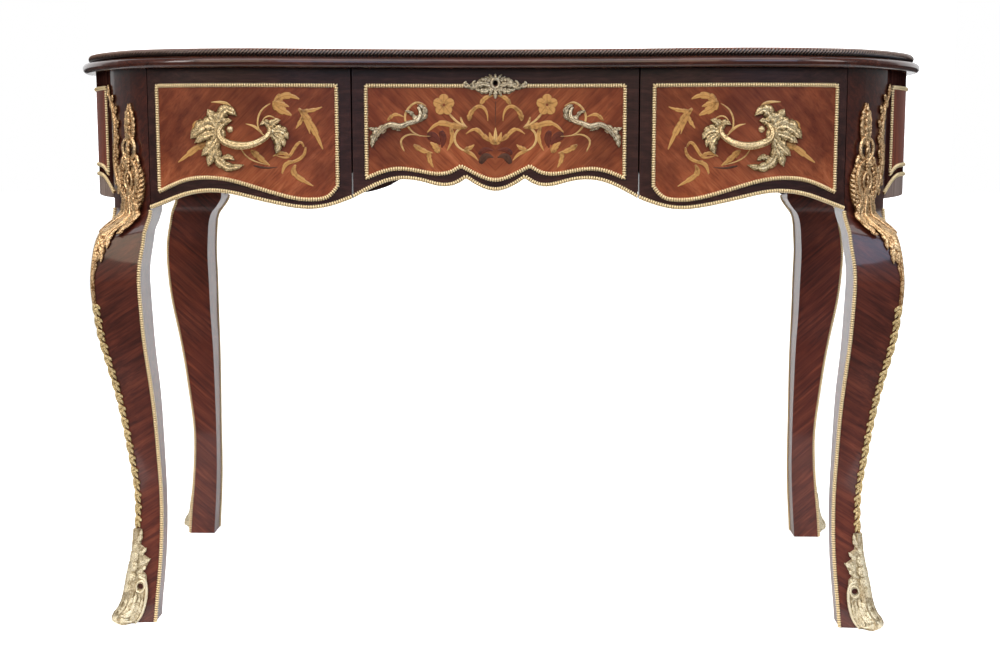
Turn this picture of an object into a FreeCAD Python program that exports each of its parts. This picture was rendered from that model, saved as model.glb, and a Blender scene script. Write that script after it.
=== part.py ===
import FreeCAD, Part
import math
import os
from FreeCAD import Vector as V

# Kidney-shaped writing desk: three drawers in a serpentine frieze on four cabriole legs.
# Millimetres, Z up, X to the right, the drawers face -Y, the origin is on the floor in the middle.

# Overall sizes
HEIGHT = 780.0            # floor to the upper face of the top
HALF_WIDTH = 589.0        # centre to the widest point of the frieze
LOBE_FRONT = 291.0        # centre line to the foremost point of the two front lobes
PULL_REACH = 24.0         # how far the side drawers' pulls stand out from the lobes
TOP_THICK = 25.0          # thickness of the top with its edge
TOP_OVERHANG = 18.0       # how far the rounded edge of the top stands out from the frieze

# Plan of the frieze
RECESS = 36.0             # depth of the hollow middle of the front behind the lobes
LOBE_X = 326.0            # centre to the foremost point of a lobe
LOBE_R = 300.0            # radius of a lobe
STILE_X = 460.5           # centre to the inner face of the leg posts
STILE_Y = 195.0           # centre to the face of the leg posts that the end aprons meet
CORNER_R = 110.0          # radius of the front corners
BACK_CORNER_R = 80.0      # radius of the back corners
BOW_R = 2600.0            # radius of the bowed back

# Frieze
FRIEZE_DROP = 185.0       # underside of the top to the foot of the leg posts
FRONT_T = 22.0            # thickness of the drawer fronts
APRON_T = 22.0            # thickness of the end and back aprons
RAIL_T = 30.0             # thickness of the two hidden front rails
RAIL_H = 20.0             # height of each hidden front rail
DIVIDER_X = 188.5         # centre to the middle of a divider between drawers
DIVIDER_T = 20.0          # thickness of a divider
LEDGE_W = 14.0            # how far the runners stand out beside the drawers
FRONT_GAP = 2.0           # gap between neighbouring drawer fronts
FIT = 0.5                 # clearance of each drawer on its runners and rails
TENON_T = 10.0            # thickness of the apron tenons
TENON_L = 15.0            # length of the apron tenons
TENON_H = 100.0           # height of the apron tenons
TENON_FIT = 0.1           # clearance round a tenon

# Drawer boxes
BOX_DEPTH = 330.0         # length of a drawer side from the hollow of the front
BOX_H = 94.0              # height of a drawer side
SIDE_T = 10.0             # thickness of the drawer sides and backs
SIDE_PLAY = 2.0           # sideways play of a drawer box
BOTTOM_T = 6.0            # thickness of the drawer bottoms
GROOVE = 4.0              # depth of the groove for a drawer bottom
GROOVE_UP = 6.0           # height of that groove above the side's lower edge

# Trim
BEAD_W = 4.5              # width of the ribbed beading on the faces
BEAD_T = 2.2              # thickness of that beading
MOUNT_T = 4.0             # thickness of the cast mounts
MOUNT_GAP = 0.35          # glue line between a mount and the leg
BEAD_GAP = 0.6            # room between a leg and the beading round its edge
LEG_BEAD_R = 2.4          # radius of the beading along the leg edges
SABOT_T = 4.5             # thickness of a foot casting
SABOT_H = 130.0           # height of a foot casting
SABOT_EYE = 4.2           # radius of the hole on each side of a foot casting
TOE_W = 18.0              # width of the scroll at the toe
BACK_LEG = 1.08           # thickness of the back legs against the front legs

# Lock
LOCK_W = 60.0             # width of the lock case
LOCK_H = 42.0             # height of the lock case
LOCK_T = 13.0             # thickness of the lock case
BOLT_W = 18.0             # width of the bolt
BOLT_T = 5.0              # thickness of the bolt
BOLT_H = 26.0             # length of the bolt
BOLT_THROW = 9.0          # travel of the bolt
BOLT_FIT = 0.3            # clearance round the bolt

# Heights that follow from the sizes above
TOP_UNDER = HEIGHT - TOP_THICK
STILE_FOOT = TOP_UNDER - FRIEZE_DROP
RAIL_TOP_Z = TOP_UNDER - RAIL_H
BOX_TOP = RAIL_TOP_Z - 2.0
BOX_FOOT = BOX_TOP - BOX_H
RUN_TOP = BOX_FOOT - FIT
RUN_FOOT = RUN_TOP - RAIL_H
BACK_BOW = LOBE_FRONT + PULL_REACH - TOP_OVERHANG
BOX_BACK = RECESS - LOBE_FRONT + FRONT_T + BOX_DEPTH

# Drops below the top of the shaped lower edges: share of the length, drop in millimetres
SIDE_EDGE = [(0, 169.5), (0.08, 177.5), (0.2, 183), (0.28, 181), (0.38, 175.5), (0.49, 168.5),
             (0.6, 162), (0.715, 161), (0.82, 166.5), (0.91, 175), (1, FRIEZE_DROP - 1)]
SIDE_FRAME = [(0, 152), (0.048, 166.5), (0.115, 172.5), (0.207, 172), (0.324, 165.5), (0.471, 154.5),
              (0.605, 146), (0.729, 144), (0.828, 147), (0.895, 152.5), (1, 164)]
CENTRE_TONGUE = [(0, 160), (0.107, 154.7), (0.209, 143)]
CENTRE_WING = [(0.209, 143), (0.283, 151.4), (0.389, 153.7), (0.512, 148), (0.635, 144.7),
               (0.74, 146.6), (0.862, 155), (1, 168.7)]
FRAME_TONGUE = [(0, 147.7), (0.135, 141), (0.266, 129.2)]
FRAME_WING = [(0.266, 129.2), (0.339, 136.5), (0.462, 139.4), (0.615, 135), (0.767, 133),
              (0.883, 137.4), (1, 146)]
END_EDGE = [(0, 170), (0.5, 170.5), (0.8, 171.5), (1, 172)]
END_ARCH = [(0, 143.5), (0.3, 143.8), (0.55, 143.5), (0.75, 143.8), (0.87, 149), (0.95, 158), (1, 166)]
END_FRAME = [(0, 130), (0.3, 130.2), (0.6, 130.2), (0.8, 130.8), (0.92, 135), (1, 143)]
FRAME_DROP = 20.0         # underside of the top to the upper beading of each frame

# Leg below the post: height, outward swing of the corner along x and y, side of the section
TABLE_TOP = 570.0         # height of the foot of the posts that these heights were taken for
LEG_SECTIONS = [(530, 37, 58.2), (505, 42.5, 60), (475, 45.5, 61), (440, 44, 60.5), (400, 39.5, 57.5),
                (345, 28.5, 50), (290, 19, 43.5), (235, 12, 38), (180, 6.5, 33.5), (130, 7.5, 34),
                (80, 12, 36), (40, 17, 37.5), (0, 21, 38)]
KNEE_BLEND = [(563, 0.081), (556, 0.282), (548, 0.575), (540, 0.844)]   # height, share of the first section
LEG_BULGE = 1.2           # how far the two outer faces of a leg swell out


def solve_end(x1, y1, t1, radius):
    """Corner arc from (x1, y1) at angle t1 that runs into an end arc upright at the half width."""
    low, high = t1, math.radians(89)
    for _ in range(70):
        t = (low + high) / 2
        x2 = x1 + radius * (math.sin(t) - math.sin(t1))
        y2 = y1 - radius * (math.cos(t1) - math.cos(t))
        if (HALF_WIDTH - x2) / y2 > math.tan(math.pi / 4 - t / 2):
            high = t
        else:
            low = t
    return t, x2, y2, (HALF_WIDTH - x2) / (1 - math.sin(t))


def plan_arcs():
    """Arcs of the right half from the front middle: centre, radius, first and last normal angle."""
    hollow_r = (LOBE_X ** 2 / RECESS + RECESS) / 2 - LOBE_R
    turn = math.asin(LOBE_X / (hollow_r + LOBE_R))
    t1 = math.asin((STILE_X - LOBE_X) / LOBE_R)
    y1 = LOBE_FRONT - LOBE_R * (1 - math.cos(t1))
    t2, x2, y2, end_r = solve_end(STILE_X, y1, t1, CORNER_R)
    b1 = math.asin(STILE_X / BOW_R)
    yb = BACK_BOW - BOW_R * (1 - math.cos(b1))
    b2, xb, yb2, back_r = solve_end(STILE_X, yb, b1, BACK_CORNER_R)
    half = math.pi / 2
    return [
        ((0, RECESS - LOBE_FRONT - hollow_r), -hollow_r, 0, -turn),
        ((LOBE_X, LOBE_R - LOBE_FRONT), LOBE_R, -turn, t1),
        ((STILE_X - CORNER_R * math.sin(t1), CORNER_R * math.cos(t1) - y1), CORNER_R, t1, t2),
        ((HALF_WIDTH - end_r, 0), end_r, t2, half),
        ((HALF_WIDTH - back_r, 0), back_r, half, math.pi - b2),
        ((STILE_X - BACK_CORNER_R * math.sin(b1), yb - BACK_CORNER_R * math.cos(b1)),
         BACK_CORNER_R, math.pi - b2, math.pi - b1),
        ((0, BACK_BOW - BOW_R), BOW_R, math.pi - b1, math.pi),
    ]


PLAN = plan_arcs()


def arc_point(arc, angle, offset, z=0.0):
    (cx, cy), radius, _, _ = arc
    reach = radius + offset
    return V(cx + reach * math.sin(angle), cy - reach * math.cos(angle), z)


def outline(offset, z=0.0):
    """Closed plan outline of the frieze, moved outward by the offset."""
    edges = []
    for side in (1, -1):
        for arc in PLAN:
            points = [arc_point(arc, a, offset, z) for a in (arc[2], (arc[2] + arc[3]) / 2, arc[3])]
            points = [V(side * p.x, p.y, p.z) for p in points]
            edges.append(Part.Arc(*points).toShape())
    return Part.Wire(Part.__sortEdges__(edges))


def prism(offset, z0, z1):
    return Part.Face(outline(offset, z0)).extrude(V(0, 0, z1 - z0))


def ring(outer, inner, z0, z1):
    return prism(outer, z0, z1).cut(prism(inner, z0 - 1, z1 + 1))


def box(x0, x1, y0, y1, z0, z1):
    return Part.makeBox(x1 - x0, y1 - y0, z1 - z0, V(x0, y0, z0))


def mirrored(shape):
    return shape.mirror(V(0, 0, 0), V(1, 0, 0))


def spline(points):
    curve = Part.BSplineCurve()
    curve.interpolate(points)
    return curve.toShape()


def panel(bottoms, start, end, ceiling):
    """Upright face in the XZ plane: shaped lower runs, straight ends and top."""
    edges = [spline([V(a, 0, b) for a, b in run]) for run in bottoms]
    first, last = bottoms[0][0], bottoms[-1][-1]
    corners = [V(last[0], 0, last[1]), V(end, 0, ceiling), V(start, 0, ceiling), V(first[0], 0, first[1])]
    for p, q in zip(corners, corners[1:]):
        edges.append(Part.makeLine(p, q))
    return Part.Face(Part.Wire(edges))


def run_of(profile, start, end, shift=0.0):
    """Profile shares and drops turned into places between start and end."""
    return [(start + share * (end - start), TOP_UNDER - drop + shift) for share, drop in profile]


def centre_runs(tongue, wing, half, shift=0.0):
    """Symmetric profile with a middle tongue between two cusps and a wing on each side."""
    right = run_of(wing, 0, half, shift)
    middle = run_of(tongue, 0, half, shift)
    left = [(-x, z) for x, z in reversed(right)]
    middle = [(-x, z) for x, z in reversed(middle)] + middle[1:]
    return [left, middle, right]


def half_runs(profile, half, shift=0.0):
    """Symmetric profile in one smooth run."""
    right = run_of(profile, 0, half, shift)
    return [[(-x, z) for x, z in reversed(right)] + right[1:]]


def through_y(face, y0, y1):
    moved = face.copy()
    moved.translate(V(0, y0, 0))
    return moved.extrude(V(0, y1 - y0, 0))


def through_x(face, x0, x1):
    turned = face.copy()
    turned.rotate(V(0, 0, 0), V(0, 0, 1), 90)
    turned.translate(V(x0, 0, 0))
    return turned.extrude(V(x1 - x0, 0, 0))


FAR = LOBE_FRONT + 100
LOW = STILE_FOOT - 60


def beading(shell, outer, inner, through, a, b):
    """Strip of a thin shell between an outer and an inner upright face."""
    return shell.common(through(outer, a, b).cut(through(inner, a, b)))


# Drawer fronts with their beading, the right one is mirrored for the left one
front_ring = ring(0, -FRONT_T, LOW, TOP_UNDER - FIT)
bead_ring = ring(BEAD_T, 0, LOW, TOP_UNDER - FIT)
inner_end = DIVIDER_X + FRONT_GAP / 2
outer_end = STILE_X - FRONT_GAP / 2
side_runs = [run_of(SIDE_EDGE, inner_end, outer_end)]
side_face = panel(side_runs, inner_end, outer_end, TOP_UNDER)
side_front = front_ring.common(through_y(side_face, -FAR, 0))
raised = panel([run_of(SIDE_EDGE, inner_end, outer_end, BEAD_W)], inner_end, outer_end, TOP_UNDER)
side_edge = beading(bead_ring, side_face, raised, through_y, -FAR, 0)
FRAME_IN = 17.0           # divider line to the inner upright of a side drawer's frame
FRAME_OUT = 13.0          # leg post to the outer upright of that frame


def side_frame_face(inset):
    a, b = DIVIDER_X + FRAME_IN + inset, STILE_X - FRAME_OUT - inset
    return panel([run_of(SIDE_FRAME, a, b, inset)], a, b, TOP_UNDER - FRAME_DROP - inset)


side_frame = beading(bead_ring, side_frame_face(0), side_frame_face(BEAD_W), through_y, -FAR, 0)
centre_half = DIVIDER_X - FRONT_GAP / 2
centre_face = panel(centre_runs(CENTRE_TONGUE, CENTRE_WING, centre_half), -centre_half, centre_half, TOP_UNDER)
centre_front = front_ring.common(through_y(centre_face, -FAR, 0))
raised = panel(centre_runs(CENTRE_TONGUE, CENTRE_WING, centre_half, BEAD_W), -centre_half, centre_half, TOP_UNDER)
centre_edge = beading(bead_ring, centre_face, raised, through_y, -FAR, 0)
CENTRE_FRAME_IN = 16.5    # divider line to the uprights of the middle drawer's frame


def centre_frame_face(inset):
    half = DIVIDER_X - CENTRE_FRAME_IN - inset
    return panel(centre_runs(FRAME_TONGUE, FRAME_WING, half, inset), -half, half, TOP_UNDER - FRAME_DROP - inset)


centre_frame = beading(bead_ring, centre_frame_face(0), centre_frame_face(BEAD_W), through_y, -FAR, 0)


# Drawer boxes
def drawer_box(x0, x1):
    """Sides, back and bottom of a box between x0 and x1 behind a front."""
    room = prism(-FRONT_T, LOW, TOP_UNDER)
    slot_z = BOX_FOOT + GROOVE_UP
    panel_x0, panel_x1 = x0 + SIDE_T - GROOVE, x1 - SIDE_T + GROOVE
    slot = box(panel_x0, panel_x1, -FAR, FAR, slot_z, slot_z + BOTTOM_T + TENON_FIT)
    left = box(x0, x0 + SIDE_T, -FAR, BOX_BACK, BOX_FOOT, BOX_TOP).common(room).cut(slot)
    right = box(x1 - SIDE_T, x1, -FAR, BOX_BACK, BOX_FOOT, BOX_TOP).common(room).cut(slot)
    back = box(x0 + SIDE_T, x1 - SIDE_T, BOX_BACK - SIDE_T, BOX_BACK, slot_z + BOTTOM_T + TENON_FIT, BOX_TOP)
    bottom = box(panel_x0 + TENON_FIT, panel_x1 - TENON_FIT, -FAR, BOX_BACK, slot_z, slot_z + BOTTOM_T)
    return left, right, back, bottom.common(room)


bay_in = DIVIDER_X + DIVIDER_T / 2 + SIDE_PLAY
bay_out = STILE_X - SIDE_PLAY
side_box = drawer_box(bay_in, bay_out)
centre_bay = DIVIDER_X - DIVIDER_T / 2 - SIDE_PLAY
centre_box = drawer_box(-centre_bay, centre_bay)

# Hidden rails, dividers with runners, and the runners between the legs
rail_front = -FRONT_T - FIT
rail_span = box(-STILE_X, STILE_X, -FAR, 0, LOW, HEIGHT)
top_rail = ring(rail_front, rail_front - RAIL_T, RAIL_TOP_Z, TOP_UNDER).common(rail_span)
low_rail = ring(rail_front, rail_front - RAIL_T, RUN_FOOT, RUN_TOP).common(rail_span)
behind_rail = prism(rail_front - RAIL_T, LOW, HEIGHT)
inside_back = prism(-APRON_T, LOW, HEIGHT)
front_half = box(-FAR * 2, FAR * 2, -FAR, 0, LOW, HEIGHT)
back_half = box(-FAR * 2, FAR * 2, 0, FAR, LOW, HEIGHT)
hollow = behind_rail.common(front_half).fuse(inside_back.common(back_half)).removeSplitter()
divider = box(DIVIDER_X - DIVIDER_T / 2, DIVIDER_X + DIVIDER_T / 2, -FAR, FAR, RUN_FOOT, TOP_UNDER)
ledge = DIVIDER_T / 2 + SIDE_PLAY + LEDGE_W
divider = divider.fuse(box(DIVIDER_X - ledge, DIVIDER_X + ledge, -FAR, FAR, RUN_FOOT, RUN_TOP)).removeSplitter()
divider = divider.common(hollow)
LAP = 20.0                # length of the side runners on the back leg posts
runner = box(STILE_X - SIDE_PLAY - LEDGE_W, STILE_X, -FAR, STILE_Y + LAP, RUN_FOOT, RUN_TOP).common(hollow)

# Aprons with tenons
apron_ring = ring(0, -APRON_T, LOW, TOP_UNDER)
end_bead = ring(BEAD_T, 0, LOW, TOP_UNDER)


def end_face(profile, half, inset, ceiling, shift):
    return panel(half_runs(profile, half - inset, shift), -half + inset, half - inset, ceiling - inset)


TENON_COVER = 6.0         # wood left outside a tenon at its tip


def end_tenon(arc, sign, fit):
    """Tenon on one end of the right end apron, made larger by the fit for its mortise."""
    (cx, cy), radius, _, _ = arc
    tip = STILE_Y + TENON_L
    mid_x = cx + math.sqrt(radius ** 2 - tip ** 2) - TENON_COVER - TENON_T / 2
    mid_z = TOP_UNDER - 20.0 - TENON_H / 2
    half = TENON_T / 2 + fit
    y0, y1 = sorted((sign * STILE_Y, sign * (tip + fit)))
    return box(mid_x - half, mid_x + half, y0, y1, mid_z - TENON_H / 2 - fit, mid_z + TENON_H / 2 + fit)


def tenon(fit):
    return end_tenon(PLAN[3], -1, fit)


def end_tenon_back(fit):
    return end_tenon(PLAN[4], 1, fit)


def back_tenon(fit):
    """Tenon on the right end of the back apron."""
    (cx, cy), radius, _, _ = PLAN[6]
    tip = STILE_X + TENON_L
    mid_y = cy + math.sqrt(radius ** 2 - tip ** 2) - TENON_COVER - TENON_T / 2
    mid_z = TOP_UNDER - 20.0 - TENON_H / 2
    half = TENON_T / 2 + fit
    return box(STILE_X, tip + fit, mid_y - half, mid_y + half, mid_z - TENON_H / 2 - fit, mid_z + TENON_H / 2 + fit)


END_FRAME_IN = 13.0       # leg post to the uprights of an end frame
end_plate = end_face(END_EDGE, STILE_Y, 0, TOP_UNDER, 0)
end_apron = apron_ring.common(through_x(end_plate, 0, HALF_WIDTH + 50))
end_apron = end_apron.fuse(tenon(0)).fuse(end_tenon_back(0)).removeSplitter()
arch = end_face(END_ARCH, STILE_Y, 0, TOP_UNDER, 0)
raised = end_face(END_ARCH, STILE_Y, 0, TOP_UNDER, BEAD_W)
end_edge = beading(end_bead, arch, raised, through_x, 0, HALF_WIDTH + 50)
frame_half = STILE_Y - END_FRAME_IN
outer = end_face(END_FRAME, frame_half, 0, TOP_UNDER - FRAME_DROP, 0)
inner = end_face(END_FRAME, frame_half, BEAD_W, TOP_UNDER - FRAME_DROP, BEAD_W)
end_frame = beading(end_bead, outer, inner, through_x, 0, HALF_WIDTH + 50)

back_right = panel([run_of(SIDE_EDGE, DIVIDER_X, STILE_X)], DIVIDER_X, STILE_X, TOP_UNDER)
back_middle = panel(centre_runs(CENTRE_TONGUE, CENTRE_WING, DIVIDER_X), -DIVIDER_X, DIVIDER_X, TOP_UNDER)
back_apron = apron_ring.common(through_y(back_middle, 0, FAR))
for wing in (back_right, mirrored(back_right)):
    back_apron = back_apron.fuse(apron_ring.common(through_y(wing, 0, FAR)))
back_apron = back_apron.fuse(back_tenon(0)).fuse(mirrored(back_tenon(0))).removeSplitter()
back_beads = [beading(end_bead, centre_frame_face(0), centre_frame_face(BEAD_W), through_y, 0, FAR)]
wing_frame = beading(end_bead, side_frame_face(0), side_frame_face(BEAD_W), through_y, 0, FAR)
back_beads += [wing_frame, mirrored(wing_frame)]


# Cabriole legs
def leg_post(front):
    """Corners of a post in plan, its y measured outward, and the middles of its two outer arcs pushed out."""
    corner_arc, end_arc = (PLAN[2], PLAN[3]) if front else (PLAN[5], PLAN[4])
    near, far = (corner_arc[2], corner_arc[3]) if front else (corner_arc[3], corner_arc[2])
    turn = math.acos(STILE_Y / end_arc[1])
    last = turn if front else math.pi - turn
    corners = [arc_point(corner_arc, near, 0), arc_point(corner_arc, far, 0), arc_point(end_arc, last, 0)]
    middles = [(corner_arc, (near + far) / 2), (end_arc, (far + last) / 2)]
    return [(p.x, abs(p.y)) for p in corners] + [(STILE_X, STILE_Y)], middles


def between(p, q, share):
    return p[0] + (q[0] - p[0]) * share, p[1] + (q[1] - p[1]) * share


def leg_stations(front):
    """Height, share of the leg against the post, and four corners, from the post to the floor."""
    post, _ = leg_post(front)
    size = 1.0 if front else BACK_LEG
    scale = STILE_FOOT / TABLE_TOP
    rows = []
    for height, swing, side in LEG_SECTIONS:
        side = side * size
        x, y = post[1][0] + swing, post[1][1] + swing
        rows.append((height * scale, 1.0, [(x - side, y), (x, y), (x, y - side), (x - side, y - side)]))
    knee = [(STILE_FOOT, 0.0, post)]
    for height, share in KNEE_BLEND:
        knee.append((height * scale, share, [between(p, q, share) for p, q in zip(post, rows[0][2])]))
    return knee + rows


def leg_loft(front, grow=0.0):
    """Leg below its post on the right side, made larger all round by the growth."""
    sign = -1 if front else 1
    post, middles = leg_post(front)
    bulge = LEG_BULGE + grow
    swell = []
    for k, (arc, angle) in enumerate(middles):
        m = arc_point(arc, angle, grow)
        chord = between(post[k], post[k + 1], 0.5)
        swell.append((m.x - chord[0], abs(m.y) - chord[1]))
    if grow > 1:
        lift = (grow * 1.6 + 3.0) * 0.7
        swell = [(lift, lift), (lift, lift)]
    wires = []
    for z, share, (a, b, c, d) in leg_stations(front):
        mid_ab, mid_bc = between(a, b, 0.5), between(b, c, 0.5)
        out_ab, out_bc = between(swell[0], (0, bulge), share), between(swell[1], (bulge, 0), share)
        pa = V(a[0] - grow, sign * (a[1] + grow), z)
        pb = V(b[0] + grow, sign * (b[1] + grow), z)
        pc = V(c[0] + grow, sign * (c[1] - grow), z)
        pd = V(d[0] - grow, sign * (d[1] - grow), z)
        ab = V(mid_ab[0] + out_ab[0], sign * (mid_ab[1] + out_ab[1]), z)
        bc = V(mid_bc[0] + out_bc[0], sign * (mid_bc[1] + out_bc[1]), z)
        wires.append(Part.Wire([Part.Arc(pa, ab, pb).toShape(), Part.Arc(pb, bc, pc).toShape(),
                                Part.makeLine(pc, pd), Part.makeLine(pd, pa)]))
    return Part.makeLoft(wires, True, False)


def leg_lines(front):
    """Points of the two beaded edges of a leg, from its post to the floor, and the corner of its post."""
    sign = -1 if front else 1
    inner, outer = [], []
    for z, _, (a, _, c, _) in leg_stations(front):
        inner.append(V(a[0], sign * a[1], z))
        outer.append(V(c[0], sign * c[1], z))
    x, y = leg_post(front)[0][1]
    return inner, outer, V(x, sign * y, 0)


def leg_bead(front, outer):
    """Faceted beading wrapped round one edge of a leg, lofted through the same heights as the leg."""
    sign = -1 if front else 1
    r, g, d, m = LEG_BEAD_R, BEAD_GAP, LEG_BEAD_R * 0.82, LEG_BEAD_R * 0.45
    if outer:
        steps = [(g, r), (d + g, m), (d, -d), (-m, -d - g), (-r, -g), (g, -g)]
    else:
        steps = [(r, g), (m, d + g), (-d, d), (-d - g, -m), (-g, -r), (-g, g)]
    wires = []
    for p in leg_lines(front)[1 if outer else 0]:
        ring_points = [V(p.x + dx, p.y + sign * dy, p.z) for dx, dy in steps]
        wires.append(Part.makePolygon(ring_points + ring_points[:1]))
    return Part.makeLoft(wires, True, False)


def tube(points, radius):
    path = Part.Wire([spline(points)])
    start = points[0]
    axis = path.Edges[0].tangentAt(path.Edges[0].FirstParameter)
    circle = Part.Wire([Part.makeCircle(radius, start, axis)])
    return path.makePipeShell([circle], True, False)


def closed_spline(points):
    curve = Part.BSplineCurve()
    curve.interpolate(points, PeriodicFlag=True)
    return Part.Face(Part.Wire([curve.toShape()]))


def polygon(points):
    return Part.Face(Part.makePolygon(points + points[:1]))


def corner_prism(front, corner, half_outline, smooth=False):
    """Symmetric outline of half widths and heights, pushed outward along the leg's diagonal."""
    sign = -1 if front else 1
    n = V(math.sqrt(0.5), sign * math.sqrt(0.5), 0)
    u = V(math.sqrt(0.5), -sign * math.sqrt(0.5), 0)
    base = V(corner.x, corner.y, 0) - n * 20
    left = [(-w, z) for w, z in reversed(half_outline) if w > 0]
    points = [base + u * w + V(0, 0, z) for w, z in list(half_outline) + left]
    face = closed_spline(points) if smooth else polygon(points)
    return face.extrude(n * 150)


def leaf_chain(z_high, z_low, count):
    """Half widths of a run of leaf drops."""
    step = (z_high - z_low) / count
    points = []
    for i in range(count):
        top = z_high - i * step
        points += [(2.5, top), (6.5, top - 0.65 * step)]
    return points


MOUNT_TOP = TOP_UNDER - 50.0
plume_drops = [(0, 0), (4, 7), (9, 15), (12, 23), (9, 37), (17, 43), (18, 50), (15, 63), (21, 69), (26, 77),
               (29, 90), (29, 102), (26, 115), (20, 127), (18, 140), (17, 150), (21, 164), (13, 172),
               (9, 181), (5, 191), (4.5, 225), (4, 256)]
plume = [(w, MOUNT_TOP - drop) for w, drop in plume_drops]
chain = leaf_chain(MOUNT_TOP - 256, SABOT_H + 4, 15)
eye = [(w, MOUNT_TOP - drop) for w, drop in [(0, 92), (6, 96), (9, 107), (6, 118), (0, 122)]]
side_strip = [(54, -16), (57, -12), (46, 8), (45, 22), (45, 40), (47, 56), (48, 72), (46, 92), (40, 106),
              (22, 108), (22, 88), (36, 76), (34, 56), (30, 38), (31, 20), (38, 4)]
sabot_outline = [(0, SABOT_H), (4.5, SABOT_H), (5.5, 120), (6, 108), (11, 103), (8, 96), (16.5, 88), (14, 79),
                 (10, 72), (14.5, 66), (15.5, 57), (17.5, 46), (18, 35), (16, 20), (12.5, 8), (10, 0), (0, 0)]
toe_profile = [(-14, 66), (-4, 64), (-1.5, 52), (1.5, 40), (5, 30), (10, 22), (16, 17), (20, 11), (19.5, 5),
               (15, 1), (8, 0), (-14, 0)]
BACK_STRIP = 0.68         # reach of that strip on the narrower back posts
posts = prism(0, STILE_FOOT, TOP_UNDER)
post_shell = ring(MOUNT_T, MOUNT_GAP, STILE_FOOT - 1, TOP_UNDER)


def strip_prism(front, corner):
    """The leafy strip of a mount on the end side of its post."""
    sign = -1 if front else 1
    n = V(math.sqrt(0.5), sign * math.sqrt(0.5), 0)
    u = V(math.sqrt(0.5), -sign * math.sqrt(0.5), 0)
    base = V(corner.x, corner.y, 0) - n * 60
    room = 1.0 if front else BACK_STRIP
    return polygon([base + u * w * room + V(0, 0, MOUNT_TOP - drop) for w, drop in side_strip]).extrude(n * 150)


def foot_casting(front, corner, leg_space):
    """Casting on the outer corner of a foot, with a scroll at the toe and a hole on each side."""
    sign = -1 if front else 1
    n = V(math.sqrt(0.5), sign * math.sqrt(0.5), 0)
    u = V(math.sqrt(0.5), -sign * math.sqrt(0.5), 0)
    swing = LEG_SECTIONS[-1][1]
    arris = V(corner.x + swing, corner.y + sign * swing, 0)
    start = arris - u * (TOE_W / 2)
    toe = polygon([start + n * a + V(0, 0, z) for a, z in toe_profile]).extrude(u * TOE_W)
    shoe = leg_loft(front, SABOT_T).common(corner_prism(front, corner, sabot_outline)).fuse(toe)
    eye_z = 51.0
    reach = swing - 5.5
    hole_x = V(corner.x + reach - 13, corner.y + sign * (reach + 30), eye_z)
    hole_y = V(corner.x + reach + 30, corner.y + sign * (reach - 13), eye_z)
    for place, axis in ((hole_x, V(0, -sign, 0)), (hole_y, V(-1, 0, 0))):
        shoe = shoe.cut(Part.makeCylinder(SABOT_EYE, 40, place, axis))
    return max(shoe.cut(leg_space).Solids, key=lambda solid: solid.Volume)


def make_leg(front):
    """Leg, its mount, its foot casting and its beading, all on the right side."""
    y_span = (-FAR, -STILE_Y) if front else (STILE_Y, FAR)
    corner_box = box(STILE_X, HALF_WIDTH + 50, y_span[0], y_span[1], STILE_FOOT, TOP_UNDER)
    post = posts.common(corner_box)
    shaft = leg_loft(front)
    corner = leg_lines(front)[2]
    leg = post.fuse(shaft).removeSplitter()
    leg = leg.cut(tenon(TENON_FIT) if front else end_tenon_back(TENON_FIT))
    if not front:
        leg = leg.cut(back_tenon(TENON_FIT))
    leg_space = leg_loft(front, MOUNT_GAP)
    shoe = foot_casting(front, corner, leg_space)
    skin = leg_loft(front, MOUNT_T).cut(leg_space)
    outline_prism = corner_prism(front, corner, plume + chain + [(2.5, SABOT_H), (0, SABOT_H)])
    outline_prism = outline_prism.cut(corner_prism(front, corner, eye))
    on_post = outline_prism.fuse(strip_prism(front, corner))
    upper = post_shell.common(on_post).cut(leg_space)
    mount = upper.fuse(skin.common(outline_prism)).removeSplitter()
    mount = max(mount.cut(shoe).Solids, key=lambda solid: solid.Volume)
    return leg, mount, shoe, [leg_bead(front, False), leg_bead(front, True)]


# Top: board, rounded edge moulding and rope edge
EDGE_H = 13.0             # height of the rounded moulding
ROPE_IN = 8.0             # how far the rope edge lies behind the moulding
BOARD_OUT = 2.0           # how far the board itself stands out from the frieze
top_board = prism(BOARD_OUT, TOP_UNDER, HEIGHT)


def swept(points):
    """Sweep of a profile, given as offsets and heights, round the outline of the top."""
    spine = outline(BOARD_OUT, TOP_UNDER)
    spine_start = spine.Edges[0].valueAt(spine.Edges[0].FirstParameter)
    tangent = spine.Edges[0].tangentAt(spine.Edges[0].FirstParameter)
    side = tangent.cross(V(0, 0, 1))
    probe = spine_start + side * 1.0
    if top_board.isInside(V(probe.x, probe.y, TOP_UNDER + 1), 0.01, True):
        side = side * -1
    edges = []
    placed = [spine_start + side * (p[0] - BOARD_OUT) + V(0, 0, p[1] - TOP_UNDER) for p in points]
    edges.append(Part.makeLine(placed[0], placed[1]))
    edges.append(Part.Arc(placed[1], placed[2], placed[3]).toShape())
    edges.append(Part.makeLine(placed[3], placed[4]))
    edges.append(Part.makeLine(placed[4], placed[0]))
    sweep = Part.BRepOffsetAPI.MakePipeShell(spine)
    sweep.setBiNormalMode(V(0, 0, 1))
    sweep.add(Part.Wire(edges))
    sweep.build()
    sweep.makeSolid()
    return sweep.shape()


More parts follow.
